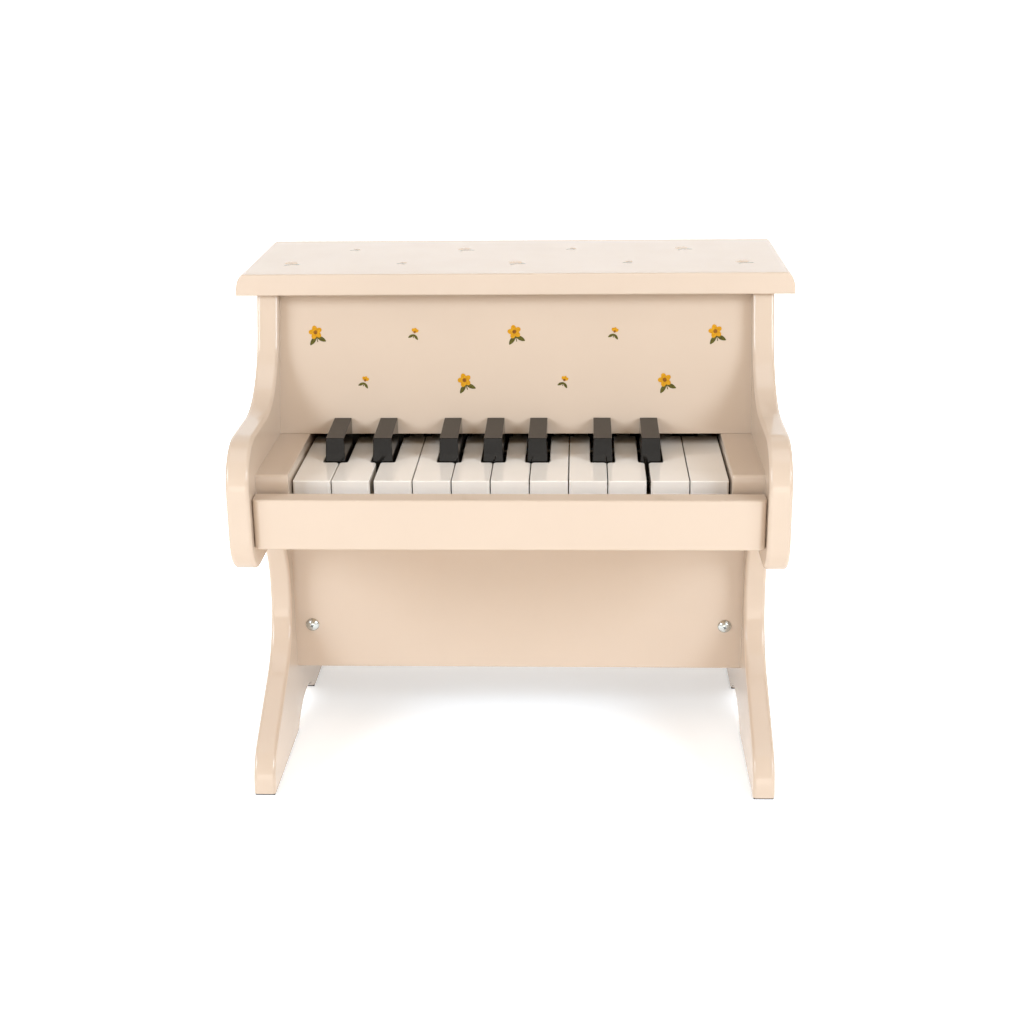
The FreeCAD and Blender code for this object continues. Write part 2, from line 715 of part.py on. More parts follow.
def black_key(index):
    """Black key: tapered hollow cap that rises towards the panel and leans with it, with its lever."""
    centre = black_centre(index)
    front = FRONT + KEY_NOTCH_SETBACK + BLACK_FRONT_CLEARANCE
    beside_panel = FRONT + UPPER_PANEL_SETBACK - BLACK_REAR_CLEARANCE
    rear = beside_panel + lean_back(KEY_TOP, KEY_BLOCK_TOP)
    base = BLACK_BASE_WIDTH / 2
    levels = []
    foot = (0, 0, 0)
    crown = (BLACK_FRONT_RISE, BLACK_REAR_RISE, BLACK_FRONT_SLOPE)
    for rise_front, rise_rear, slope in (foot, crown):
        half_front = base - BLACK_TAPER_SHARE * rise_front
        half_rear = base - BLACK_TAPER_SHARE * rise_rear
        rear_here = beside_panel + lean_back(KEY_TOP + rise_rear, KEY_BLOCK_TOP)
        levels.append(ring([
            point(centre - half_front, front + slope, KEY_TOP + rise_front),
            point(centre + half_front, front + slope, KEY_TOP + rise_front),
            point(centre + half_rear, rear_here, KEY_TOP + rise_rear),
            point(centre - half_rear, rear_here, KEY_TOP + rise_rear),
        ]))
    cap = Part.makeLoft(levels, True, True)
    cap = rounded(cap, BLACK_EDGE_ROUND, lambda box: box.ZMax > KEY_TOP + TINY)
    skirt = block(centre - base, centre + base, front, rear, KEY_BOTTOM, KEY_TOP)
    bridge = block(centre - base, centre + base, rear - KEY_WALL, FRONT + KEY_REAR_SETBACK,
                   KEY_BOTTOM, KEY_TOP - KEY_WALL)
    hollow = block(centre - base + KEY_WALL, centre + base - KEY_WALL, front + KEY_WALL, rear - KEY_WALL,
                   KEY_BOTTOM - OVERRUN, KEY_TOP + BLACK_FRONT_RISE - BLACK_CROWN_WALL)
    shell = fused([cap, skirt, bridge]).cut(hollow)
    return fused([shell] + key_lever(centre, KEY_TOP - KEY_WALL)).cut(key_bore(centre))


def lug_centres():
    """Middles of the wide gaps between levers, beside the white keys with no black key between them."""
    return [(white_lever(index) + white_lever(index + 1)) / 2
            for index in range(WHITE_COUNT - 1) if black_centre(index) is None]


def balance_rail():
    """Low rail under the key rod, with a lug in each wide gap between the levers."""
    y = FRONT + KEY_PIVOT_SETBACK
    start = y - BALANCE_RAIL_DEPTH / 2
    end = y + BALANCE_RAIL_DEPTH / 2
    top = KEYBED_TOP + BALANCE_RAIL_HEIGHT
    lug_top = KEY_PIVOT_HEIGHT + KEY_ROD_RADIUS + LUG_WALL
    pieces = [block(-BLOCK_INNER, BLOCK_INNER, start, end, KEYBED_TOP, top)]
    for x in lug_centres():
        pieces.append(block(x - LUG_WIDTH / 2, x + LUG_WIDTH / 2, start, end, KEYBED_TOP, lug_top))
    hole = bar_x(-INNER, INNER, y, KEY_PIVOT_HEIGHT, KEY_ROD_RADIUS + SEAT_CLEARANCE)
    return fused(pieces).cut(hole)


def key_rod():
    """Steel rod that all keys rock on, seated in the key blocks."""
    reach = BLOCK_INNER + KEY_ROD_SEAT
    return bar_x(-reach, reach, FRONT + KEY_PIVOT_SETBACK, KEY_PIVOT_HEIGHT, KEY_ROD_RADIUS)


def key_felts():
    """Felt strips: the stop under the key fronts and the rest under the lever ends."""
    stop = FRONT + STOP_FELT_SETBACK
    rest = FRONT + REST_FELT_SETBACK
    rest_top = LEVER_BOTTOM - REST_CLEARANCE
    solids = [
        block(-BLOCK_INNER, BLOCK_INNER, stop, stop + STOP_FELT_DEPTH,
              KEYBED_TOP, KEYBED_TOP + STOP_FELT_THICKNESS),
        block(-BLOCK_INNER, BLOCK_INNER, rest, rest + REST_FELT_DEPTH, KEYBED_TOP, rest_top),
    ]
    return Part.makeCompound(solids)


def hammer(centre):
    """Moulded hammer: eye on the rod, heel over the lever's end, arm and round head."""
    low = centre - HAMMER_WIDTH / 2
    high = centre + HAMMER_WIDTH / 2
    y = FRONT + HAMMER_PIVOT_SETBACK
    z = HAMMER_PIVOT_HEIGHT
    heel_z = LEVER_TOP + HAMMER_HEEL_CLEARANCE + HAMMER_HEEL_RADIUS
    head_y = y - HAMMER_HEAD_REACH
    head_z = z + HAMMER_HEAD_RISE - HAMMER_HEAD_RADIUS
    half = HAMMER_ARM_THICKNESS / 2
    pieces = [
        bar_x(low, high, y, z, HAMMER_EYE_RADIUS),
        block(low, high, head_y, y, z - half, z + half),
        bar_x(low, high, y - HAMMER_HEEL_REACH, heel_z, HAMMER_HEEL_RADIUS),
        block(low, high, head_y - HAMMER_HEAD_RADIUS, head_y + HAMMER_HEAD_RADIUS, z - half, head_z),
        bar_x(low, high, head_y, head_z, HAMMER_HEAD_RADIUS),
    ]
    bore = HAMMER_ROD_RADIUS + RUNNING_CLEARANCE
    return fused(pieces).cut(bar_x(low - OVERRUN, high + OVERRUN, y, z, bore))


def hammer_rail():
    """Rail behind the hammers, with lugs that steady the hammer rod."""
    y = FRONT + HAMMER_PIVOT_SETBACK
    z = HAMMER_PIVOT_HEIGHT
    start = y + HAMMER_EYE_RADIUS + HAMMER_RAIL_GAP
    pieces = [block(-INNER, INNER, start, BACK_PANEL_FRONT, KEYBED_TOP, HAMMER_RAIL_TOP)]
    reach = HAMMER_ROD_RADIUS + LUG_WALL
    for x in lug_centres():
        pieces.append(block(x - LUG_WIDTH / 2, x + LUG_WIDTH / 2, y - reach, start, z - reach, z + reach))
    return fused(pieces).cut(bar_x(-INNER, INNER, y, z, HAMMER_ROD_RADIUS + SEAT_CLEARANCE))


def hammer_rod():
    """Steel rod that all hammers swing on, seated in the side boards."""
    reach = INNER + HAMMER_ROD_SEAT
    return bar_x(-reach, reach, FRONT + HAMMER_PIVOT_SETBACK, HAMMER_PIVOT_HEIGHT, HAMMER_ROD_RADIUS)


def tone_lengths():
    """Lengths of the tone bars: each semitone higher is shorter by the same factor."""
    count = len(lever_centres())
    return [LONGEST_TONE_BAR * 2 ** (-step / SEMITONES_TO_HALVE_LENGTH) for step in range(count)]


def tone_rail_y(side, x):
    """Middle of a tone rail at x: a straight line near the still points of the bars."""
    centres = lever_centres()
    lengths = tone_lengths()
    along = (x - centres[0]) / (centres[-1] - centres[0])
    length = lengths[0] + along * (lengths[-1] - lengths[0])
    return FRONT + TONE_BAR_SETBACK + side * NODE_SHARE * length


def pin_places(side):
    """Places of the pins along one tone rail."""
    return [(x, tone_rail_y(side, x)) for x in lever_centres()]


def pin_holes(side, radius):
    """Holes for the pins of one tone rail."""
    low = TONE_BAR_BOTTOM - PIN_DEPTH
    return [bar_z(x, y, low, TONE_BAR_TOP + OVERRUN, radius) for x, y in pin_places(side)]


def tone_strip(side, width, low, high):
    """Straight slanting strip along one tone rail, between the side boards."""
    half = width / 2
    left = tone_rail_y(side, -INNER)
    right = tone_rail_y(side, INNER)
    corners = [
        (-INNER, left - half, 0),
        (INNER, right - half, 0),
        (INNER, right + half, 0),
        (-INNER, left + half, 0),
    ]
    strip = plate_z(corners, low, high)
    return strip.cut(pin_holes(side, PIN_RADIUS + SEAT_CLEARANCE))


def tone_rail(side):
    """Wooden rail under one row of still points."""
    return tone_strip(side, TONE_RAIL_WIDTH, TONE_RAIL_BOTTOM, TONE_RAIL_TOP)


def tone_felts():
    """Felt strips between the tone rails and the bars."""
    solids = [tone_strip(side, TONE_FELT_WIDTH, TONE_RAIL_TOP, TONE_BAR_BOTTOM) for side in (-1, 1)]
    return Part.makeCompound(solids)


def tone_bars():
    """Flat metal bars, one for each key, with two holes at their still points."""
    y = FRONT + TONE_BAR_SETBACK
    half = TONE_BAR_WIDTH / 2
    radius = PIN_RADIUS + PIN_CLEARANCE
    solids = []
    for x, length in zip(lever_centres(), tone_lengths()):
        bar = block(x - half, x + half, y - length / 2, y + length / 2, TONE_BAR_BOTTOM, TONE_BAR_TOP)
        holes = [bar_z(x, tone_rail_y(side, x), TONE_BAR_BOTTOM - OVERRUN, TONE_BAR_TOP + OVERRUN, radius)
                 for side in (-1, 1)]
        solids.append(bar.cut(holes))
    return Part.makeCompound(solids)


def tone_pins():
    """Headed pins that hold the bars to their rails."""
    solids = []
    for side in (-1, 1):
        for x, y in pin_places(side):
            shank = bar_z(x, y, TONE_BAR_BOTTOM - PIN_DEPTH, TONE_BAR_TOP, PIN_RADIUS)
            head = bar_z(x, y, TONE_BAR_TOP, TONE_BAR_TOP + PIN_HEAD_HEIGHT, PIN_HEAD_RADIUS)
            solids.append(fused([shank, head]))
    return Part.makeCompound(solids)


def all_pieces():
    """Every piece of the piano by its name."""
    pieces = {
        "left_side_board": side_board(-1),
        "right_side_board": side_board(1),
        "lid": lid(),
        "upper_panel": upper_panel(),
        "lower_panel": lower_panel(),
        "back_panel": back_panel(),
        "front_rail": front_rail(),
        "keybed": keybed(),
        "left_key_block": key_block(-1),
        "right_key_block": key_block(1),
        "corner_cleats": corner_cleats(),
        "case_dowels": case_dowels(),
        "panel_screws": panel_screws(),
        "foot_pads": foot_pads(),
        "balance_rail": balance_rail(),
        "key_rod": key_rod(),
        "key_felts": key_felts(),
        "hammer_rail": hammer_rail(),
        "hammer_rod": hammer_rod(),
        "front_tone_rail": tone_rail(-1),
        "rear_tone_rail": tone_rail(1),
        "tone_felts": tone_felts(),
        "tone_bars": tone_bars(),
        "tone_pins": tone_pins(),
    }
    for index in range(WHITE_COUNT):
        pieces[f"white_key_{index + 1:02d}"] = white_key(index)
    blacks = [index for index in range(WHITE_COUNT) if black_centre(index) is not None]
    for number, index in enumerate(blacks, 1):
        pieces[f"black_key_{number:02d}"] = black_key(index)
    for number, centre in enumerate(lever_centres(), 1):
        pieces[f"hammer_{number:02d}"] = hammer(centre)
    return pieces


def main():
    """Build and write every piece."""
    os.makedirs("parts", exist_ok=True)
    for name, shape in all_pieces().items():
        valid = shape.isValid()
        print(f"{name}: {len(shape.Solids)} solid(s), {shape.Volume:.1f} mm3, valid {valid}")
        shape.exportStep(f"parts/{name}.step")


main()
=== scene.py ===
import logging
import math
from dataclasses import dataclass, field
from enum import Enum
from functools import cached_property
from typing import Any, Callable, Iterable, Sequence

import bpy
from mathutils import Matrix, Vector


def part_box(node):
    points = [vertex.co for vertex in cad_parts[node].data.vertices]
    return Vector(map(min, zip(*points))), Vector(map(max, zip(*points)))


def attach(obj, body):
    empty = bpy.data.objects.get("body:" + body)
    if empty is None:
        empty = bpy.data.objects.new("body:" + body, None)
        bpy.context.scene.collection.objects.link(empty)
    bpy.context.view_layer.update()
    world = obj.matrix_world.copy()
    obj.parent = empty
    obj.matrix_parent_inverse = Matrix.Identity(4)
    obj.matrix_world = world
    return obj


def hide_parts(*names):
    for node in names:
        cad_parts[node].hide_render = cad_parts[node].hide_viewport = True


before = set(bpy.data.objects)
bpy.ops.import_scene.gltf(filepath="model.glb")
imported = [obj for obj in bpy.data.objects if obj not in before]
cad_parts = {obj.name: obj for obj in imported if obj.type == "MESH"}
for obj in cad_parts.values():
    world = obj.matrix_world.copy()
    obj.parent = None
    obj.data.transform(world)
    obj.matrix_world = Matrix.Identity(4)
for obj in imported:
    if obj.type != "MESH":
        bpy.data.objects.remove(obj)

# Toy upright piano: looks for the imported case, keys and striking action. Metres, +Z up, player at -Y.

LOG = logging.getLogger("toy_piano")
MM = 0.001
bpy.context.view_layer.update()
# Least share of a normal along an axis for a face that looks that way
STRAIGHT = 0.99
# A face with more corners than this is the filled end of a round
ROUND_FACE_CORNERS = 8

Colour = tuple[float, float, float, float]


class Slot(Enum):
    """Names of material slots."""

    CREAM_LACQUER = "cream_lacquer"
    ZINC = "zinc"


class GrainAxis(Enum):
    """Direction in which the grain of a wooden piece runs, as the stretch of its pattern."""

    X = (0.06, 1.0, 1.0)
    Z = (1.0, 1.0, 0.06)


class Motif(Enum):
    """Kinds of small printed motif, each with its size beside a blossom's."""

    BLOSSOM = 1.0
    BUD = 0.62


class Socket(Enum):
    """Kinds of socket on a shared node group."""

    COLOUR = "NodeSocketColor"
    NUMBER = "NodeSocketFloat"
    VECTOR = "NodeSocketVector"


class Element(Enum):
    """Kinds of mesh element that are picked in edit mode."""

    VERT = "vertices"
    FACE = "polygons"


class Graph:
    """Adds and joins shader nodes in one node tree."""

    def __init__(self, tree: bpy.types.NodeTree) -> None:
        """Keep the tree that nodes are added to."""
        self.tree = tree

    def add(self, kind: str, settings: dict[str, Any] | None = None, **values: Any) -> bpy.types.Node:
        """Add a node, set its options, and set or link its inputs.

        Args:
            kind: Blender's name of the node type, without the ShaderNode prefix.
            settings: Options of the node by attribute name.
            **values: Inputs by name, with underscores for spaces; a socket is linked, anything else is set.

        Returns:
            The new node.
        """
        node = self.tree.nodes.new(kind if kind.startswith("Node") else "ShaderNode" + kind)
        for name, value in (settings or {}).items():
            setattr(node, name, value)
        for name, value in values.items():
            self.feed(node.inputs[name.replace("_", " ")], value)
        return node

    def feed(self, socket: bpy.types.NodeSocket, value: Any) -> None:
        """Link a socket into an input, or set the input's own value.

        Args:
            socket: Input of a node.
            value: Socket to link, or plain value to set.
        """
        if isinstance(value, bpy.types.NodeSocket):
            self.tree.links.new(value, socket)
        else:
            socket.default_value = value

    def group(self, tree: bpy.types.NodeTree, **values: Any) -> bpy.types.NodeOutputs:
        """Place a shared group.

        Args:
            tree: The group.
            **values: Inputs of the group by name.

        Returns:
            The outputs of the placed group.
        """
        return self.add("Group", {"node_tree": tree}, **values).outputs

    def maths(self, operation: str, first: Any, second: Any = 0.0, third: Any = 0.0) -> bpy.types.NodeSocket:
        """Add a Math node.

        Args:
            operation: Blender's name of the operation.
            first: First value or socket.
            second: Second value or socket.
            third: Third value or socket, where the operation has one.

        Returns:
            The result socket.
        """
        node = self.add("Math", {"operation": operation})
        for socket, value in zip(node.inputs, (first, second, third)):
            self.feed(socket, value)
        return node.outputs[0]

    def vector(self, operation: str, first: Any, second: Any) -> bpy.types.NodeSocket:
        """Add a Vector Math node.

        Args:
            operation: Blender's name of the operation.
            first: First vector or socket.
            second: Second vector or socket.

        Returns:
            The result socket, a number where the operation gives one.
        """
        node = self.add("VectorMath", {"operation": operation})
        self.feed(node.inputs[0], first)
        self.feed(node.inputs[1], second)
        return node.outputs["Value" if operation in ("DOT_PRODUCT", "LENGTH") else "Vector"]

    def blend(self, share: Any, first: Any, second: Any, mode: str = "MIX") -> bpy.types.NodeSocket:
        """Mix two colours.

        Args:
            share: Share of the second colour.
            first: First colour.
            second: Second colour.
            mode: Blend mode.

        Returns:
            The mixed colour socket.
        """
        node = self.add("Mix", {"data_type": "RGBA", "blend_type": mode})
        self.feed(node.inputs[0], share)
        self.feed(node.inputs[6], first)
        self.feed(node.inputs[7], second)
        return node.outputs[2]

    def shaded(self, colour: Any, lift: Any) -> bpy.types.NodeSocket:
        """Multiply a colour by a number.

        Args:
            colour: Colour or socket.
            lift: Number or socket.

        Returns:
            The darker or brighter colour socket.
        """
        grey = self.add("CombineColor", Red=lift, Green=lift, Blue=lift).outputs[0]
        return self.blend(1.0, colour, grey, "MULTIPLY")

    def spread(self, value: Any, low: float, high: float, new_low: Any = 0.0,
               new_high: Any = 1.0) -> bpy.types.NodeSocket:
        """Map one range of values to another.

        Args:
            value: Socket to map.
            low: Value that becomes new_low.
            high: Value that becomes new_high.
            new_low: Result at low.
            new_high: Result at high.

        Returns:
            The mapped socket.
        """
        ends = {"From_Min": low, "From_Max": high, "To_Min": new_low, "To_Max": new_high}
        return self.add("MapRange", Value=value, **ends).outputs[0]

    def place(self) -> bpy.types.NodeSocket:
        """Add the object coordinates of the surface."""
        return self.add("TexCoord").outputs["Object"]

    def noise(self, place: Any, scale: Any, detail: float, **values: Any) -> bpy.types.NodeSocket:
        """Add a noise pattern.

        Args:
            place: Coordinates of the pattern.
            scale: How fine the pattern is.
            detail: How many finer patterns are laid over it.
            **values: Other inputs of the pattern by name.

        Returns:
            The pattern's value.
        """
        return self.add("TexNoise", Vector=place, Scale=scale, Detail=detail, **values).outputs[0]

    def bump(self, shader: bpy.types.Node, height: Any, strength: float, depth: float) -> None:
        """Drive a shader's normal from a height.

        Args:
            shader: Principled shader.
            height: Height socket.
            strength: Strength of the bump.
            depth: Depth of the bump in metres.
        """
        normal = self.add("Bump", Height=height, Strength=strength, Distance=depth).outputs[0]
        self.feed(shader.inputs["Normal"], normal)


def new_group(name: str, inputs: Sequence[tuple[str, Socket, Any]],
              outputs: Sequence[tuple[str, Socket]]) -> Graph:
    """Make an empty node group with named sockets.

    Args:
        name: Name of the group.
        inputs: Name, kind and default of each input.
        outputs: Name and kind of each output.

    Returns:
        A graph on the new group.
    """
    tree = bpy.data.node_groups.new(name, "ShaderNodeTree")
    for label, kind, default in inputs:
        socket = tree.interface.new_socket(name=label, in_out="INPUT", socket_type=kind.value)
        socket.default_value = default
    for label, kind in outputs:
        tree.interface.new_socket(name=label, in_out="OUTPUT", socket_type=kind.value)
    return Graph(tree)


class NodeGroups:
    """Shared surface effects, each built at its first use and placed in every material that needs it."""

    @cached_property
    def colour_drift(self) -> bpy.types.NodeTree:
        """Slow cloudy change of a colour over the surface.

        Returns:
            The group, with Base, Scale and Amount in and Colour out.
        """
        inputs = [("Base", Socket.COLOUR, (0.8, 0.8, 0.8, 1.0)), ("Scale", Socket.NUMBER, 20.0),
                  ("Amount", Socket.NUMBER, 0.05)]
        graph = new_group("Colour Drift", inputs, [("Colour", Socket.COLOUR)])
        source = graph.add("NodeGroupInput").outputs
        cloud = graph.noise(graph.place(), source["Scale"], 4.0, Roughness=0.55)
        swing = graph.spread(cloud, 0.3, 0.7, -1.0, 1.0)
        lift = graph.maths("MULTIPLY_ADD", swing, source["Amount"], 1.0)
        graph.add("NodeGroupOutput", Colour=graph.shaded(source["Base"], lift))
        return graph.tree

    @cached_property
    def orange_peel(self) -> bpy.types.NodeTree:
        """Faint sprayed-lacquer ripple and wide patches of haze.

        Returns:
            The group, with Scale in and Height and Haze out.
        """
        outputs = [("Height", Socket.NUMBER), ("Haze", Socket.NUMBER)]
        graph = new_group("Orange Peel", [("Scale", Socket.NUMBER, 400.0)], outputs)
        source = graph.add("NodeGroupInput").outputs
        place = graph.place()
        ripple = graph.noise(place, source["Scale"], 2.0, Roughness=0.4)
        wide = graph.noise(place, graph.maths("MULTIPLY", source["Scale"], 0.08), 3.0)
        graph.add("NodeGroupOutput", Height=ripple, Haze=graph.spread(wide, 0.35, 0.7))
        return graph.tree

    @cached_property
    def edge_wear_and_highlight(self) -> bpy.types.NodeTree:
        """Mask of a thin broken line along sharp edges, partly rubbed wear and partly a painted highlight.

        Returns:
            The group, with Width and Amount in and Mask out.
        """
        inputs = [("Width", Socket.NUMBER, 0.8 * MM), ("Amount", Socket.NUMBER, 0.5)]
        graph = new_group("Edge Wear", inputs, [("Mask", Socket.NUMBER)])
        source = graph.add("NodeGroupInput").outputs
        soft = graph.add("Bevel", {"samples": 4}, Radius=source["Width"]).outputs[0]
        sharp = graph.add("NewGeometry").outputs["Normal"]
        line = graph.spread(graph.vector("DOT_PRODUCT", soft, sharp), 0.995, 0.9)
        patch = graph.spread(graph.noise(graph.place(), 130.0, 3.0), 0.42, 0.62)
        mask = graph.maths("MULTIPLY", graph.maths("MULTIPLY", line, patch), source["Amount"])
        graph.add("NodeGroupOutput", Mask=mask)
        return graph.tree

    @cached_property
    def wood_grain(self) -> bpy.types.NodeTree:
        """Straight fine grain of a light sanded wood.

        Returns:
            The group, with Pale, Dark and Stretch in and Colour and Height out.
        """
        inputs = [("Pale", Socket.COLOUR, (0.7, 0.5, 0.3, 1.0)),
                  ("Dark", Socket.COLOUR, (0.5, 0.3, 0.15, 1.0)),
                  ("Stretch", Socket.VECTOR, (1.0, 1.0, 1.0))]
        graph = new_group("Wood Grain", inputs, [("Colour", Socket.COLOUR), ("Height", Socket.NUMBER)])
        source = graph.add("NodeGroupInput").outputs
        pulled = graph.vector("MULTIPLY", graph.place(), source["Stretch"])
        rings = graph.noise(pulled, 90.0, 5.0, Distortion=0.4)
        pores = graph.noise(pulled, 900.0, 2.0)
        speck = graph.spread(pores, 0.55, 0.75, 0.0, 0.5)
        share = graph.maths("MAXIMUM", graph.spread(rings, 0.35, 0.68), speck)
        colour = graph.blend(share, source["Pale"], source["Dark"])
        graph.add("NodeGroupOutput", Colour=colour, Height=pores)
        return graph.tree

    @cached_property
    def felt_nap(self) -> bpy.types.NodeTree:
        """Short tangled fibres.

        Returns:
            The group, with Base in and Colour and Height out.
        """
        inputs = [("Base", Socket.COLOUR, (0.1, 0.1, 0.1, 1.0))]
        graph = new_group("Felt Nap", inputs, [("Colour", Socket.COLOUR), ("Height", Socket.NUMBER)])
        source = graph.add("NodeGroupInput").outputs
        place = graph.place()
        fibre = graph.noise(place, 2600.0, 3.0, Distortion=1.5)
        tuft = graph.noise(place, 500.0, 2.0)
        tone = graph.maths("ADD", graph.spread(fibre, 0.3, 0.7, 0.55, 1.25), tuft)
        colour = graph.shaded(source["Base"], graph.maths("SUBTRACT", tone, 0.5))
        graph.add("NodeGroupOutput", Colour=colour, Height=fibre)
        return graph.tree


GROUPS = NodeGroups()


def set_plain(shader: bpy.types.Node, **values: Any) -> None:
    """Set values that are the same all over a surface on the shader's own sockets.

    Args:
        shader: Principled shader.
        **values: Values by the socket's name, with underscores for spaces.
    """
    for name, value in values.items():
        shader.inputs[name.replace("_", " ")].default_value = value


@dataclass(frozen=True)
class Ripple:
    """Fine ripple of a glossy surface, with patches of haze."""

    scale: float
    haze: float
    strength: float
    depth: float = 0.03 * MM

    def lay(self, graph: Graph, shader: bpy.types.Node, roughness: float) -> None:
        """Drive a shader's roughness and normal.

        Args:
            graph: Graph of the material.
            shader: Its Principled shader.
            roughness: Roughness where there is no haze.
        """
        peel = graph.group(GROUPS.orange_peel, Scale=self.scale)
        hazed = graph.spread(peel["Haze"], 0.0, 1.0, roughness, roughness + self.haze)
        graph.feed(shader.inputs["Roughness"], hazed)
        graph.bump(shader, peel["Height"], self.strength, self.depth)


@dataclass(frozen=True)
class Finish:
    """A named surface finish."""

    name: str

    def material(self) -> bpy.types.Material:
        """Build the node material of this finish.

        Returns:
            The material.
        """
        material = bpy.data.materials.new(self.name)
        material.use_nodes = True
        material.node_tree.nodes.clear()
        graph = Graph(material.node_tree)
        shader = graph.add("BsdfPrincipled")
        graph.add("OutputMaterial", Surface=shader.outputs[0])
        self._lay(graph, shader)
        return material

    def _lay(self, graph: Graph, shader: bpy.types.Node) -> None:
        """Lay the finish on an empty material.

        Args:
            graph: Graph of the material.
            shader: Its Principled shader.
        """
        raise NotImplementedError


@dataclass(frozen=True)
class Lacquer(Finish):
    """Sprayed glossy lacquer on board."""

    colour: Colour
    worn_and_highlit: Colour
    under_roughness: float = 0.3
    under_reflection: float = 0.15
    coat_roughness: float = 0.015
    ior: float = 1.5
    drift: float = 0.018
    drift_scale: float = 14.0
    wear_and_highlight_width: float = 0.7 * MM
    wear_and_highlight_amount: float = 0.25
    ripple: Ripple = Ripple(scale=420.0, haze=0.05, strength=0.03)

    def _lay(self, graph: Graph, shader: bpy.types.Node) -> None:
        """Lay the lacquer with its slow drift, spray ripple and lighter edges, partly rubbed wear and partly
        a painted highlight.

        Args:
            graph: Graph of the material.
            shader: Its Principled shader.
        """
        drift = graph.group(GROUPS.colour_drift, Base=self.colour, Scale=self.drift_scale, Amount=self.drift)
        rubbed_and_lit_edges = graph.group(GROUPS.edge_wear_and_highlight, Width=self.wear_and_highlight_width, Amount=self.wear_and_highlight_amount)
        # Lighter colour along the edges: partly rubbed wear, partly a painted highlight
        graph.feed(shader.inputs["Base Color"], graph.blend(rubbed_and_lit_edges["Mask"], drift["Colour"], self.worn_and_highlit))
        self.ripple.lay(graph, shader, self.under_roughness)
        set_plain(shader, Specular_IOR_Level=self.under_reflection, IOR=self.ior, Coat_Weight=1.0,
                  Coat_Roughness=self.coat_roughness, Coat_IOR=self.ior)


@dataclass(frozen=True)
class GlossPlastic(Finish):
    """Moulded glossy plastic."""

    colour: Colour
    roughness: float = 0.12
    subsurface: float = 0.0
    reflection: float = 0.5
    ior: float = 1.5
    drift: float = 0.02
    drift_scale: float = 45.0
    ripple: Ripple = Ripple(scale=700.0, haze=0.06, strength=0.04)
    light_reach: tuple[float, float, float] = (1.0 * MM, 0.9 * MM, 0.8 * MM)

    def _lay(self, graph: Graph, shader: bpy.types.Node) -> None:
        """Lay the plastic with a slow drift and a faint moulded ripple.

        Args:
            graph: Graph of the material.
            shader: Its Principled shader.
        """
        drift = graph.group(GROUPS.colour_drift, Base=self.colour, Scale=self.drift_scale, Amount=self.drift)
        graph.feed(shader.inputs["Base Color"], drift["Colour"])
        self.ripple.lay(graph, shader, self.roughness)
        set_plain(shader, IOR=self.ior, Specular_IOR_Level=self.reflection, Subsurface_Scale=1.0,
                  Subsurface_Weight=self.subsurface, Subsurface_Radius=self.light_reach)


@dataclass(frozen=True)
class BareWood(Finish):
    """Plain sanded wood."""

    pale: Colour
    dark: Colour
    axis: GrainAxis = GrainAxis.X
    roughness: float = 0.62
    pore_strength: float = 0.25
    pore_depth: float = 0.1 * MM

    def _lay(self, graph: Graph, shader: bpy.types.Node) -> None:
        """Lay the wood with grain and open pores along its axis.

        Args:
            graph: Graph of the material.
            shader: Its Principled shader.
        """
        grain = graph.group(GROUPS.wood_grain, Pale=self.pale, Dark=self.dark, Stretch=self.axis.value)
        graph.feed(shader.inputs["Base Color"], grain["Colour"])
        set_plain(shader, Roughness=self.roughness)
        graph.bump(shader, grain["Height"], self.pore_strength, self.pore_depth)


@dataclass(frozen=True)
class PlatedMetal(Finish):
    """Bright plated or plain steel."""

    colour: Colour
    roughness: float
    drift: float = 0.06
    drift_scale: float = 300.0
    ripple: Ripple = Ripple(scale=1500.0, haze=0.14, strength=0.08, depth=0.04 * MM)

    def _lay(self, graph: Graph, shader: bpy.types.Node) -> None:
        """Lay the metal with a cloudy plating and a fine ripple.

        Args:
            graph: Graph of the material.
            shader: Its Principled shader.
        """
        drift = graph.group(GROUPS.colour_drift, Base=self.colour, Scale=self.drift_scale, Amount=self.drift)
        graph.feed(shader.inputs["Base Color"], drift["Colour"])
        self.ripple.lay(graph, shader, self.roughness)
        set_plain(shader, Metallic=1.0)


@dataclass(frozen=True)
class Felt(Finish):
    """Pressed felt."""

    colour: Colour
    roughness: float = 0.95
    sheen: float = 0.3
    sheen_roughness: float = 0.5
    nap_strength: float = 0.6
    nap_depth: float = 0.3 * MM

    def _lay(self, graph: Graph, shader: bpy.types.Node) -> None:
        """Lay the felt with its short fibres.

        Args:
            graph: Graph of the material.
            shader: Its Principled shader.
        """
        nap = graph.group(GROUPS.felt_nap, Base=self.colour)
        graph.feed(shader.inputs["Base Color"], nap["Colour"])
        set_plain(shader, Roughness=self.roughness, Sheen_Weight=self.sheen,
                  Sheen_Roughness=self.sheen_roughness)
        graph.bump(shader, nap["Height"], self.nap_strength, self.nap_depth)


@dataclass(frozen=True)
class PrintInk(Finish):
    """Ink of the small print, under the same clear coat as the lacquer."""

    colour: Colour
    shade: Colour
    stipple_scale: float = 900.0
    stipple_ends: tuple[float, float] = (0.42, 0.66)
    under_roughness: float = 0.2
    under_reflection: float = 0.15
    coat_roughness: float = 0.015
    ripple: Ripple = Ripple(scale=420.0, haze=0.06, strength=0.03)

    def _lay(self, graph: Graph, shader: bpy.types.Node) -> None:
        """Lay the ink with a stippled shade.

        Args:
            graph: Graph of the material.
            shader: Its Principled shader.
        """
        stipple = graph.noise(graph.place(), self.stipple_scale, 4.0, Roughness=0.65)
        share = graph.spread(stipple, *self.stipple_ends)
        graph.feed(shader.inputs["Base Color"], graph.blend(share, self.colour, self.shade))
        self.ripple.lay(graph, shader, self.under_roughness)
        set_plain(shader, Specular_IOR_Level=self.under_reflection, Coat_Weight=1.0,
                  Coat_Roughness=self.coat_roughness)


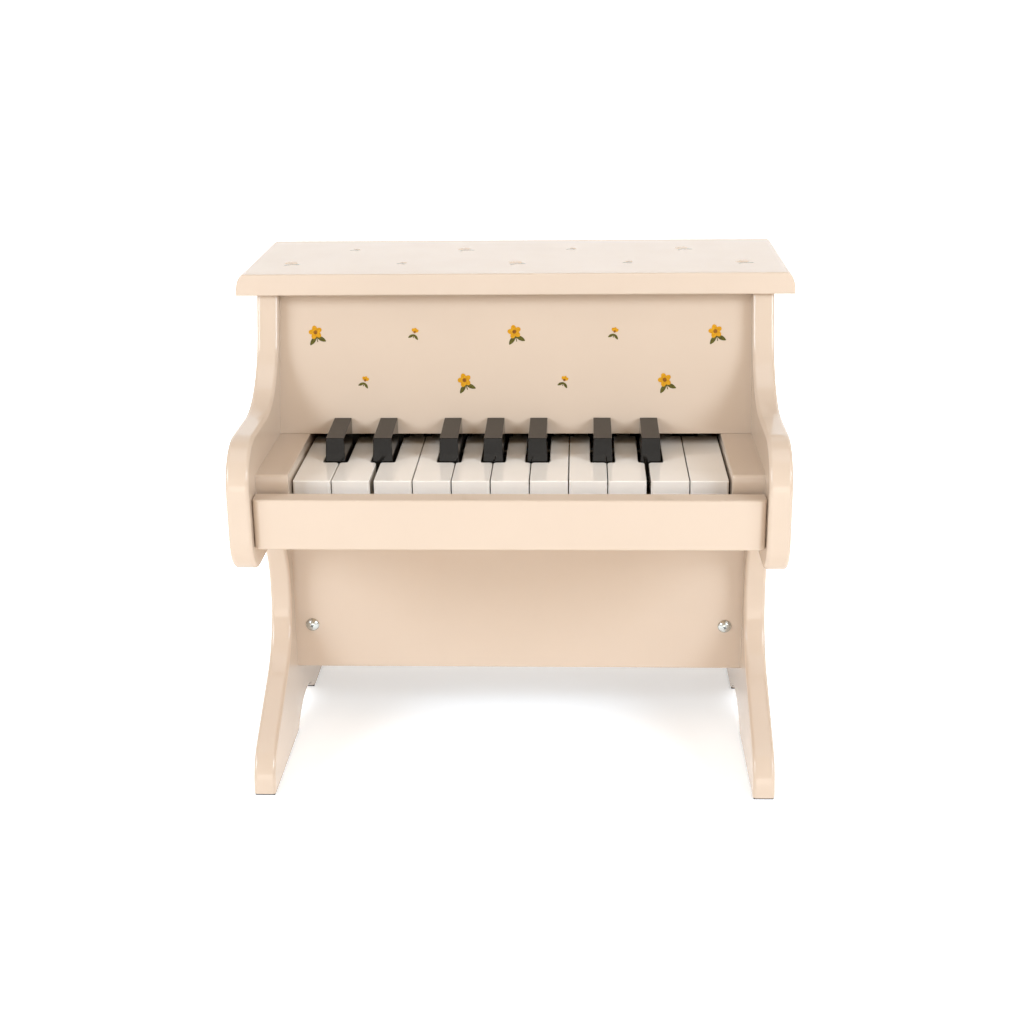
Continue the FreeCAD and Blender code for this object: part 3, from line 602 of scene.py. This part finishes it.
@dataclass(frozen=True)
class PaleStage(Finish):
    """Plain pale paper of the studio, lit a little from behind and shown bright to the camera.

    Near the middle the camera sees less of the added brightness, so that contact shadows stay.
    """

    glow: float
    near_shown: float
    far_shown: float
    colour: Colour = (0.93, 0.92, 0.9, 1.0)
    seen_colour: Colour = (0.84, 0.9, 0.95, 1.0)
    near_reach: tuple[float, float] = (0.16, 0.45)
    roughness: float = 0.9
    reflection: float = 0.1
    drift: float = 0.004
    drift_scale: float = 3.0

    def _lay(self, graph: Graph, shader: bpy.types.Node) -> None:
        """Lay the matt paper with a hint of cloud.

        Args:
            graph: Graph of the material.
            shader: Its Principled shader.
        """
        seen = graph.add("LightPath").outputs["Is Camera Ray"]
        paper = graph.blend(seen, self.colour, self.seen_colour)
        drift = graph.group(GROUPS.colour_drift, Base=paper, Scale=self.drift_scale, Amount=self.drift)
        graph.feed(shader.inputs["Base Color"], drift["Colour"])
        set_plain(shader, Roughness=self.roughness, Specular_IOR_Level=self.reflection,
                  Emission_Color=(1.0, 1.0, 1.0, 1.0))
        # Painted shade: near the middle the camera sees less added brightness, so the floor around the piano
        # is shown darker
        reach = graph.vector("LENGTH", graph.place(), (0.0, 0.0, 0.0))
        shown = graph.spread(reach, *self.near_reach, self.near_shown, self.far_shown)
        graph.feed(shader.inputs["Emission Strength"], graph.spread(seen, 0.0, 1.0, self.glow, shown))


class Finishes:
    """Every finish of the piano and its studio, built once."""

    def __init__(self) -> None:
        """Build all materials."""
        pale_beech = (0.68, 0.5, 0.33, 1.0)
        dark_beech = (0.5, 0.33, 0.19, 1.0)
        cream = (0.605, 0.498, 0.402, 1.0)
        # The second colour is the lighter edge: partly rubbed wear, partly a painted highlight
        self.lacquer = Lacquer("cream_lacquer", cream, (0.72, 0.6, 0.49, 1.0)).material()
        self.wood = BareWood("sanded_beech", pale_beech, dark_beech).material()
        self.upright_wood = BareWood("sanded_beech_upright", pale_beech, dark_beech, GrainAxis.Z).material()
        self.zinc = PlatedMetal("zinc_plate", (0.66, 0.72, 0.74, 1.0), 0.14).material()
        # Dark zinc for the cross recess of the screws: painted shade in the recess
        self.zinc_recess = PlatedMetal("zinc_recess", (0.1, 0.12, 0.13, 1.0), 0.35).material()
        self.steel = PlatedMetal("plain_steel", (0.52, 0.53, 0.55, 1.0), 0.3).material()
        self.dark_felt = Felt("dark_felt", (0.035, 0.035, 0.04, 1.0)).material()
        self.grey_felt = Felt("grey_felt", (0.32, 0.32, 0.32, 1.0)).material()
        clear = Ripple(scale=700.0, haze=0.015, strength=0.04)
        self.white = GlossPlastic("white_key_plastic", (0.86, 0.83, 0.785, 1.0), roughness=0.012,
                                  subsurface=0.15, ripple=clear).material()
        self.black = GlossPlastic("black_key_plastic", (0.003, 0.003, 0.003, 1.0), roughness=0.06,
                                  reflection=0.3).material()
        self.natural = GlossPlastic("hammer_plastic", (0.72, 0.69, 0.6, 1.0), roughness=0.4).material()
        self.yellow = PrintInk("mustard_ink", (0.62, 0.31, 0.012, 1.0), (0.48, 0.21, 0.006, 1.0)).material()
        self.ochre = PrintInk("ochre_ink", (0.27, 0.1, 0.01, 1.0), (0.16, 0.06, 0.008, 1.0)).material()
        self.olive = PrintInk("olive_ink", (0.1, 0.095, 0.018, 1.0), (0.055, 0.05, 0.012, 1.0)).material()
        self.floor = PaleStage("studio_floor", glow=0.33, near_shown=0.43, far_shown=1.0).material()
        self.backdrop = PaleStage("studio_backdrop", glow=0.25, near_shown=1.2, far_shown=1.2,
                                  colour=(0.88, 0.92, 0.97, 1.0)).material()


def wear_finish(names: Iterable[str], material: bpy.types.Material) -> None:
    """Give carried-over nodes their finish.

    Args:
        names: Names of the nodes.
        material: Finish that they wear.
    """
    for name in names:
        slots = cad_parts[name].data.materials
        if not slots:
            slots.append(material)
        for index in range(len(slots)):
            slots[index] = material
        LOG.info("%s wears %s", name, material.name)


def deselect_all() -> None:
    """Leave edit mode and clear the selection."""
    if bpy.context.object is not None and bpy.context.object.mode != "OBJECT":
        bpy.ops.object.mode_set(mode="OBJECT")
    bpy.ops.object.select_all(action="DESELECT")


def select_only(pieces: Sequence[bpy.types.Object]) -> None:
    """Select some pieces and nothing else, the first of them active.

    Args:
        pieces: Pieces to select.
    """
    deselect_all()
    for piece in pieces:
        piece.select_set(True)
    bpy.context.view_layer.objects.active = pieces[0]


def pick(piece: bpy.types.Object, kind: Element, wanted: Callable[[Any], bool]) -> None:
    """Select only some elements of a piece that is in edit mode.

    Args:
        piece: Piece in edit mode.
        kind: Kind of element.
        wanted: Test of one element.
    """
    bpy.ops.mesh.select_mode(type=kind.name)
    bpy.ops.mesh.select_all(action="DESELECT")
    bpy.ops.object.mode_set(mode="OBJECT")
    for element in getattr(piece.data, kind.value):
        element.select = wanted(element)
    bpy.ops.object.mode_set(mode="EDIT")


def copied(piece: bpy.types.Object, place: Matrix) -> bpy.types.Object:
    """Copy a piece that sits at the origin, with its own mesh.

    Args:
        piece: Piece to copy.
        place: Place and turn of the copy.

    Returns:
        The copy.
    """
    copy = piece.copy()
    copy.data = piece.data.copy()
    bpy.context.scene.collection.objects.link(copy)
    copy.matrix_world = place
    return copy


def joined(parts: Sequence[bpy.types.Object], name: str) -> bpy.types.Object:
    """Put the places of some parts into their meshes and join them.

    Args:
        parts: Parts, each with its own mesh.
        name: Name of the piece.

    Returns:
        The piece, at the origin and unturned.
    """
    select_only(parts)
    bpy.ops.object.transform_apply(location=True, rotation=True, scale=True)
    bpy.ops.object.join()
    piece = bpy.context.object
    piece.name = name
    return piece


@dataclass
class LacqueredCase:
    """Boards and panels of the case."""

    boards: tuple[str, ...] = ("left_side_board", "right_side_board", "lid", "upper_panel", "lower_panel",
                               "back_panel", "front_rail", "left_key_block", "right_key_block")
    bare_boards: tuple[str, ...] = ("keybed", "case_dowels")
    cleats: tuple[str, ...] = ("corner_cleats",)
    pads: tuple[str, ...] = ("foot_pads",)

    def dress(self, finishes: Finishes) -> None:
        """Finish the boards and pads.

        Args:
            finishes: Finishes of the piano.
        """
        wear_finish(self.boards, finishes.lacquer)
        wear_finish(self.bare_boards, finishes.wood)
        wear_finish(self.cleats, finishes.upright_wood)
        wear_finish(self.pads, finishes.dark_felt)


@dataclass
class PanScrews:
    """Domed screws with a cross recess, in the lower panel and in the back panel."""

    head_radius: float = 4.0 * MM
    head_height: float = 2.4 * MM
    rim_height: float = 0.35 * MM
    shank_radius: float = 1.7 * MM
    shank_length: float = 15.0 * MM
    tip_length: float = 3.5 * MM
    tip_share: float = 0.25
    recess_reach: float = 1.0 * MM
    recess_width: float = 0.44 * MM
    recess_depth: float = 1.7 * MM
    dome_rings: int = 40
    crease_degrees: float = 32.0
    edge_distance: float = 10.0 * MM
    front_height: float = 65.1 * MM
    cleat_margin: float = 14.0 * MM
    rail_gap: float = 5.0 * MM
    turns: tuple[float, ...] = (24.0, -21.0, 8.0, 52.0, 33.0, 71.0, 15.0, 60.0, 41.0, 80.0)

    def build(self, finishes: Finishes) -> bpy.types.Object:
        """Model one screw, copy it to every place and join the copies.

        Args:
            finishes: Finishes of the piano.

        Returns:
            All screws as one piece.
        """
        first = self._screw(finishes)
        copies = []
        for (place, face_turn), turn in zip(self._places(), self.turns):
            facing = Matrix.Rotation(face_turn, 4, "X") @ Matrix.Rotation(math.radians(turn), 4, "Z")
            copies.append(copied(first, Matrix.Translation(place) @ facing))
        bpy.data.objects.remove(first)
        piece = joined(copies, "pan_head_screws")
        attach(piece, "case")
        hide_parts("panel_screws")
        LOG.info("%s has %d screws", piece.name, len(copies))
        return piece

    def _places(self) -> list[tuple[Vector, float]]:
        """Middles of the heads' seats, each with the turn that faces the head outwards.

        The back screws sit near the ends of the rear cleats, below the keybed and above the hammer rail.

        Returns:
            Front screws first, then the screws of the back panel.
        """
        panel_low, panel_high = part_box("lower_panel")
        cleats_low, cleats_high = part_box("corner_cleats")
        side = panel_high.x - self.edge_distance
        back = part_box("back_panel")[1].y
        lower_cleat = (cleats_low.z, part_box("keybed")[0].z)
        upper_cleat = (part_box("hammer_rail")[1].z + self.rail_gap, cleats_high.z)
        heights = []
        for low, high in (lower_cleat, upper_cleat):
            heights += [low + self.cleat_margin, high - self.cleat_margin]
        forwards = math.radians(90)
        places = [(Vector((x, panel_low.y, self.front_height)), forwards) for x in (-side, side)]
        for x in (-side, side):
            places += [(Vector((x, back, z)), -forwards) for z in heights]
        return places

    def _screw(self, finishes: Finishes) -> bpy.types.Object:
        """Model one screw upright, with its seat at the origin.

        Args:
            finishes: Finishes of the piano.

        Returns:
            The screw.
        """
        dome = self.head_height - self.rim_height
        ball = (self.head_radius ** 2 + dome ** 2) / (2 * dome)
        deselect_all()
        bpy.ops.mesh.primitive_uv_sphere_add(segments=self.dome_rings, ring_count=self.dome_rings,
                                             radius=ball, location=(0.0, 0.0, self.head_height - ball))
        screw = bpy.context.object
        bpy.ops.object.transform_apply(location=True)
        bpy.ops.object.mode_set(mode="EDIT")
        bpy.ops.mesh.select_all(action="SELECT")
        bpy.ops.mesh.bisect(plane_co=(0.0, 0.0, self.rim_height), plane_no=(0.0, 0.0, 1.0), clear_inner=True,
                            use_fill=True)
        pick(screw, Element.FACE,
             lambda face: face.normal.z < -STRAIGHT or len(face.vertices) > ROUND_FACE_CORNERS)
        self._push_down(self.rim_height)
        bpy.ops.mesh.inset(thickness=self.head_radius - self.shank_radius)
        self._push_down(self.shank_length)
        self._push_down(self.tip_length)
        bpy.ops.transform.resize(value=(self.tip_share, self.tip_share, 1.0))
        bpy.ops.mesh.select_all(action="SELECT")
        bpy.ops.mesh.normals_make_consistent(inside=False)
        bpy.ops.object.mode_set(mode="OBJECT")
        screw.data.materials.append(finishes.zinc)
        # The cut faces of the recess take the dark zinc, a painted shade
        for turn in (0.0, 90.0):
            self._cut_recess(screw, turn, finishes.zinc_recess)
        select_only([screw])
        bpy.ops.object.shade_smooth_by_angle(angle=math.radians(self.crease_degrees))
        return screw

    def _push_down(self, length: float) -> None:
        """Extrude the picked face downwards by a length."""
        bpy.ops.mesh.extrude_region_move(TRANSFORM_OT_translate={"value": (0.0, 0.0, -length)})

    def _cut_recess(self, screw: bpy.types.Object, turn: float, material: bpy.types.Material) -> None:
        """Cut one straight-sided arm of the cross recess.

        Args:
            screw: Screw to cut.
            turn: Turn of the arm in degrees.
            material: Dark finish of the cut faces, a painted shade in the recess.
        """
        deselect_all()
        bpy.ops.mesh.primitive_cube_add(size=1.0, location=(0.0, 0.0, self.head_height), enter_editmode=True)
        cutter = bpy.context.object
        cutter.data.materials.append(material)
        bpy.ops.transform.resize(value=(2 * self.recess_reach, self.recess_width, 2 * self.recess_depth))
        bpy.ops.object.mode_set(mode="OBJECT")
        cutter.rotation_euler = (0.0, 0.0, math.radians(turn))
        bpy.ops.object.transform_apply(location=True, rotation=True, scale=True)
        select_only([screw])
        recess = screw.modifiers.new("recess", "BOOLEAN")
        recess.operation = "DIFFERENCE"
        recess.solver = "EXACT"
        recess.material_mode = "TRANSFER"
        recess.object = cutter
        bpy.ops.object.modifier_apply(modifier=recess.name)
        bpy.data.objects.remove(cutter)


@dataclass
class Keyboard:
    """White and black keys."""

    white_count: int = 11
    black_count: int = 7

    def dress(self, finishes: Finishes) -> None:
        """Finish the keys.

        Args:
            finishes: Finishes of the piano.
        """
        wear_finish([f"white_key_{i:02d}" for i in range(1, self.white_count + 1)], finishes.white)
        wear_finish([f"black_key_{i:02d}" for i in range(1, self.black_count + 1)], finishes.black)


@dataclass
class StrikingAction:
    """Hammers, tone bars, and the rails, rods, pins and felts that carry them."""

    hammer_count: int = 18
    rails: tuple[str, ...] = ("balance_rail", "hammer_rail", "front_tone_rail", "rear_tone_rail")
    metal: tuple[str, ...] = ("key_rod", "hammer_rod", "tone_bars", "tone_pins")
    felts: tuple[str, ...] = ("key_felts", "tone_felts")

    def dress(self, finishes: Finishes) -> None:
        """Finish the action.

        Args:
            finishes: Finishes of the piano.
        """
        wear_finish(self.rails, finishes.wood)
        wear_finish(self.metal, finishes.steel)
        wear_finish(self.felts, finishes.grey_felt)
        wear_finish([f"hammer_{i:02d}" for i in range(1, self.hammer_count + 1)], finishes.natural)


@dataclass(frozen=True)
class MotifPlace:
    """Place of one motif along and up a face, with its turn in degrees."""

    right: float
    up: float
    turn: float
    motif: Motif

    def matrix(self) -> Matrix:
        """Place and turn on the face."""
        turned = Matrix.Rotation(math.radians(self.turn), 4, "Z")
        return Matrix.Translation((self.right, self.up, 0.0)) @ turned


@dataclass
class SmallPrint:
    """Thin print of blossoms and buds on one flat face."""

    name: str
    origin: Vector
    across: Vector
    upward: Vector
    places: Sequence[MotifPlace]
    film: float = 0.05 * MM
    film_step_share: float = 0.25
    oval_corners: int = 16
    heart_corners: int = 14
    heart_layer: int = 4
    heart_radius: float = 1.15 * MM
    petal_length: float = 3.7 * MM
    petal_width: float = 2.9 * MM
    petal_middle_share: float = 0.56
    petal_layers: int = 3
    blossom_petals: int = 5
    bud_petals: int = 3
    bud_fan: float = 48.0
    leaf_length: float = 6.2 * MM
    leaf_width: float = 2.5 * MM
    leaf_taper: float = 0.45
    leaf_turn: float = 48.0
    leaf_drop: float = 2.2 * MM
    stem_length: float = 3.0 * MM
    stem_width: float = 0.5 * MM
    stem_drop: float = 2.6 * MM

    def build(self, finishes: Finishes) -> bpy.types.Object:
        """Model each kind of motif once, copy it to its places and join the copies.

        Args:
            finishes: Finishes of the piano.

        Returns:
            The print as one piece.
        """
        axes = Matrix((self.across, self.upward, self.across.cross(self.upward))).transposed().to_4x4()
        face = Matrix.Translation(self.origin) @ axes
        originals = {motif: self._motif(motif, finishes) for motif in Motif}
        copies = [copied(originals[place.motif], face @ place.matrix()) for place in self.places]
        for original in originals.values():
            bpy.data.objects.remove(original)
        piece = joined(copies, self.name)
        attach(piece, "case")
        LOG.info("%s has %d motifs", self.name, len(self.places))
        return piece

    def _motif(self, motif: Motif, finishes: Finishes) -> bpy.types.Object:
        """Model one motif flat in X and Y, with its heart at the origin.

        Args:
            motif: Kind of motif.
            finishes: Finishes of the piano.

        Returns:
            The motif.
        """
        size = motif.value
        down = -90.0
        parts = []
        for side in (-1, 1):
            leaf = self._leaf(size, finishes.olive)
            parts.append(self._hang(leaf, down + side * self.leaf_turn, self.leaf_drop * size))
        stem = self._stem(size, finishes.olive)
        parts.append(self._hang(stem, down, self.stem_drop * size))
        count = self.blossom_petals if motif is Motif.BLOSSOM else self.bud_petals
        fan = 360.0 / count if motif is Motif.BLOSSOM else self.bud_fan
        length = self.petal_length * size
        for index in range(count):
            petal = self._oval(self.oval_corners, length, self.petal_width * size)
            layer = index % self.petal_layers + 1
            self._film(petal, length * self.petal_middle_share, layer, finishes.yellow)
            parts.append(self._hang(petal, (index - (count - 1) / 2) * fan - down, 0.0))
        across = 2 * self.heart_radius * size
        heart = self._oval(self.heart_corners, across, across)
        parts.append(self._film(heart, 0.0, self.heart_layer, finishes.ochre))
        return joined(parts, motif.name.lower())

    def _hang(self, part: bpy.types.Object, turn: float, drop: float) -> bpy.types.Object:
        """Turn a part about the heart and let it down.

        Args:
            part: Part along +X from the origin.
            turn: Turn in degrees.
            drop: How far below the heart it starts.

        Returns:
            The same part.
        """
        turned = Matrix.Rotation(math.radians(turn), 4, "Z")
        part.matrix_world = Matrix.Translation((0.0, -drop, 0.0)) @ turned
        return part

    def _oval(self, corners: int, length: float, width: float) -> bpy.types.Object:
        """Add a flat oval about the origin and stay in edit mode.

        Args:
            corners: Corners of its outline.
            length: Size along X.
            width: Size along Y.

        Returns:
            The oval.
        """
        deselect_all()
        bpy.ops.mesh.primitive_circle_add(vertices=corners, radius=0.5, fill_type="NGON",
                                          enter_editmode=True)
        bpy.ops.transform.resize(value=(length, width, 1.0))
        return bpy.context.object

    def _film(self, piece: bpy.types.Object, middle: float, layer: int,
              material: bpy.types.Material) -> bpy.types.Object:
        """Move a flat shape along X and give it its film thickness and its ink.

        Args:
            piece: Flat shape in edit mode.
            middle: Place of its middle along X.
            layer: How many films it lies over.
            material: Ink.

        Returns:
            The finished shape.
        """
        thickness = self.film * (1.0 + self.film_step_share * layer)
        bpy.ops.mesh.select_mode(type=Element.FACE.name)
        bpy.ops.mesh.select_all(action="SELECT")
        bpy.ops.transform.translate(value=(middle, 0.0, 0.0))
        bpy.ops.mesh.extrude_region_move(TRANSFORM_OT_translate={"value": (0.0, 0.0, thickness)})
        bpy.ops.mesh.select_all(action="SELECT")
        bpy.ops.mesh.normals_make_consistent(inside=False)
        bpy.ops.object.mode_set(mode="OBJECT")
        piece.data.materials.append(material)
        return piece

    def _leaf(self, size: float, material: bpy.types.Material) -> bpy.types.Object:
        """Model a pointed leaf along +X, an oval drawn in towards both tips.

        Args:
            size: Size of the motif.
            material: Ink.

        Returns:
            The leaf.
        """
        length = self.leaf_length * size
        leaf = self._oval(self.oval_corners, length, self.leaf_width * size)
        for corner in range(1, self.oval_corners // 4):
            along = math.sin(math.tau * corner / self.oval_corners)
            place = along * length / 2
            pick(leaf, Element.VERT, lambda point: math.isclose(abs(point.co.x), place, rel_tol=0.01))
            bpy.ops.transform.resize(value=(1.0, 1.0 - self.leaf_taper * along ** 2, 1.0))
        return self._film(leaf, length / 2, 0, material)

    def _stem(self, size: float, material: bpy.types.Material) -> bpy.types.Object:
        """Model a thin stem along +X.

        Args:
            size: Size of the motif.
            material: Ink.

        Returns:
            The stem.
        """
        length = self.stem_length * size
        deselect_all()
        bpy.ops.mesh.primitive_plane_add(size=1.0, enter_editmode=True)
        bpy.ops.transform.resize(value=(length, self.stem_width, 1.0))
        return self._film(bpy.context.object, length / 2, 1, material)


@dataclass
class PrintedFaces:
    """Staggered rows of print on the leaning panel and on the lid."""

    column_step: float = 56.0 * MM
    lid_spacing: float = 1.15
    side_columns: int = 2
    upper_turn: float = 14.0
    lower_turn: float = -18.0
    panel_rows: tuple[float, float] = (57.0 * MM, 30.0 * MM)
    lid_rows: tuple[float, float] = (34.0 * MM, 78.0 * MM)

    def build(self, finishes: Finishes) -> list[bpy.types.Object]:
        """Print both faces.

        Args:
            finishes: Finishes of the piano.

        Returns:
            The two prints.
        """
        across = Vector((1.0, 0.0, 0.0))
        foot, upward = self._panel_face()
        panel_places = self._places(self.panel_rows, self.column_step)
        panel = SmallPrint("upper_panel_print", foot, across, upward, panel_places)
        lid_low, lid_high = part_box("lid")
        corner = Vector((0.0, lid_low.y, lid_high.z))
        lid_places = self._places(self.lid_rows, self.column_step * self.lid_spacing)
        lid = SmallPrint("lid_print", corner, across, Vector((0.0, 1.0, 0.0)), lid_places)
        return [panel.build(finishes), lid.build(finishes)]

    def _panel_face(self) -> tuple[Vector, Vector]:
        """Find the front face of the leaning panel.

        Returns:
            The middle of its foot, and its upward direction.
        """
        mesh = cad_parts["upper_panel"].data
        front = max(mesh.polygons, key=lambda side: -side.normal.y * side.area)
        upward = Vector((0.0, front.normal.z, -front.normal.y))
        top = max((mesh.vertices[index].co for index in front.vertices), key=lambda point: point.z)
        foot = top - upward * (top.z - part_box("upper_panel")[0].z) / upward.z
        foot.x = 0.0
        return foot, upward

    def _places(self, rows: tuple[float, float], step: float) -> list[MotifPlace]:
        """Staggered rows of motifs, blossoms and buds by turns.

        Args:
            rows: Distances of the two rows from the face's foot.
            step: Distance of two columns.

        Returns:
            The place of each motif.
        """
        places = []
        for column in range(-self.side_columns, self.side_columns + 1):
            kind = Motif.BLOSSOM if column % 2 == 0 else Motif.BUD
            places.append(MotifPlace(column * step, rows[0], self.upper_turn * (-1) ** column, kind))
        for column in range(-self.side_columns, self.side_columns):
            kind = Motif.BUD if column % 2 == 0 else Motif.BLOSSOM
            places.append(MotifPlace((column + 0.5) * step, rows[1], self.lower_turn * (-1) ** column, kind))
        return places


@dataclass
class SoftBox:
    """Soft rectangular light of even brightness, aimed at a point."""

    name: str
    place: Vector
    width: float
    height: float
    brightness: float
    tint: tuple[float, float, float] = (0.89, 1.0, 1.12)

    def build(self, target: Vector) -> bpy.types.Object:
        """Set up the light.

        Args:
            target: Point that it looks at.

        Returns:
            The light.
        """
        deselect_all()
        bpy.ops.object.light_add(type="AREA", location=self.place)
        light = bpy.context.object
        light.name = self.name
        light.data.shape = "RECTANGLE"
        light.data.size = self.width
        light.data.size_y = self.height
        light.data.color = self.tint
        light.data.energy = self.brightness * math.pi * self.width * self.height
        light.rotation_euler = (target - self.place).to_track_quat("-Z", "Y").to_euler()
        LOG.info("light %s", self.name)
        return light


def soft_boxes() -> list[SoftBox]:
    """Four soft boxes: one at each side in front, one far in front and one above.

    Returns:
        The boxes.
    """
    return [
        SoftBox("left_box", Vector((-1.18, -0.88, 0.8)), width=0.7, height=0.6, brightness=10.2),
        SoftBox("right_box", Vector((1.18, -0.88, 0.8)), width=0.7, height=0.6, brightness=10.3),
        SoftBox("front_box", Vector((0.05, -1.9, 0.25)), width=1.4, height=0.45, brightness=2.2,
                tint=(1.0, 0.98, 0.95)),
        SoftBox("top_box", Vector((0.0, -0.3, 1.8)), width=1.5, height=1.0, brightness=0.9),
    ]


@dataclass
class Studio:
    """Floor, backdrop, soft lights and camera."""

    floor_size: float = 12.0
    backdrop_place: float = 1.7
    backdrop_height: float = 3.0
    sky: float = 0.5
    sky_colour: Colour = (1.0, 0.72, 0.44, 1.0)
    seen_sky: float = 1.1
    seen_colour: Colour = (1.0, 1.0, 1.0, 1.0)
    boxes: list[SoftBox] = field(default_factory=soft_boxes)
    aim_height: float = 0.14
    camera_place: Vector = field(default_factory=lambda: Vector((36.51, -886.98, 444.44)) * MM)
    yaw_degrees: float = -2.517
    pitch_degrees: float = 19.183
    roll_degrees: float = -0.737
    focal_pixels: float = 1623.6
    frame_pixels: float = 1024.0
    sensor: float = 36.0
    nearest: float = 0.01
    farthest: float = 200.0

    def build(self, finishes: Finishes) -> None:
        """Set up the whole studio.

        Args:
            finishes: Finishes of the piano and its studio.
        """
        self._paper(finishes)
        self._sky()
        for box in self.boxes:
            box.build(Vector((0.0, 0.0, self.aim_height)))
        self._camera()
        self._colour_view()

    def _paper(self, finishes: Finishes) -> None:
        """Lay the floor and stand the backdrop behind the piano.

        Args:
            finishes: Finishes of the piano and its studio.
        """
        deselect_all()
        bpy.ops.mesh.primitive_plane_add(size=self.floor_size)
        floor = bpy.context.object
        floor.name = "studio_floor"
        floor.data.materials.append(finishes.floor)
        deselect_all()
        middle = (0.0, self.backdrop_place, self.backdrop_height / 2)
        bpy.ops.mesh.primitive_plane_add(size=1.0, location=middle, rotation=(math.radians(90), 0.0, 0.0))
        backdrop = bpy.context.object
        backdrop.name = "studio_backdrop"
        backdrop.scale = (self.floor_size, self.backdrop_height, 1.0)
        backdrop.data.materials.append(finishes.backdrop)

    def _sky(self) -> None:
        """Light the room evenly, and show it to the camera as pale as the paper."""
        world = bpy.data.worlds.new("studio_room")
        world.use_nodes = True
        graph = Graph(world.node_tree)
        back = world.node_tree.nodes["Background"]
        seen = graph.add("LightPath").outputs["Is Camera Ray"]
        graph.feed(back.inputs["Color"], graph.blend(seen, self.sky_colour, self.seen_colour))
        graph.feed(back.inputs["Strength"], graph.spread(seen, 0.0, 1.0, self.sky, self.seen_sky))
        bpy.context.scene.world = world

    def _camera(self) -> None:
        """Stand the camera where the photograph was taken."""
        yaw = math.radians(self.yaw_degrees)
        pitch = math.radians(self.pitch_degrees)
        roll = math.radians(self.roll_degrees)
        ahead = Vector((math.sin(yaw) * math.cos(pitch), math.cos(yaw) * math.cos(pitch), -math.sin(pitch)))
        level = Vector((math.cos(yaw), -math.sin(yaw), 0.0))
        above = level.cross(ahead)
        right = level * math.cos(roll) + above * math.sin(roll)
        up = above * math.cos(roll) - level * math.sin(roll)
        data = bpy.data.cameras.new("photo_camera")
        data.sensor_width = self.sensor
        data.lens = self.focal_pixels / self.frame_pixels * self.sensor
        data.clip_start = self.nearest
        data.clip_end = self.farthest
        camera = bpy.data.objects.new("photo_camera", data)
        bpy.context.scene.collection.objects.link(camera)
        turn = Matrix((right, up, -ahead)).transposed().to_4x4()
        camera.matrix_world = Matrix.Translation(self.camera_place) @ turn
        bpy.context.scene.camera = camera

    def _colour_view(self) -> None:
        """Show colours as they are."""
        view = bpy.context.scene.view_settings
        view.view_transform = "Standard"
        view.look = "None"
        view.exposure = 0.0
        view.gamma = 1.0


def main() -> None:
    """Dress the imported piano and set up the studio."""
    logging.basicConfig(level=logging.INFO, format="%(name)s: %(message)s")
    finishes = Finishes()
    builders: list[Callable[[Finishes], Any]] = [
        LacqueredCase().dress, PanScrews().build, Keyboard().dress,
        StrikingAction().dress, PrintedFaces().build, Studio().build,
    ]
    for build in builders:
        build(finishes)


if __name__ == "__main__":
    main()
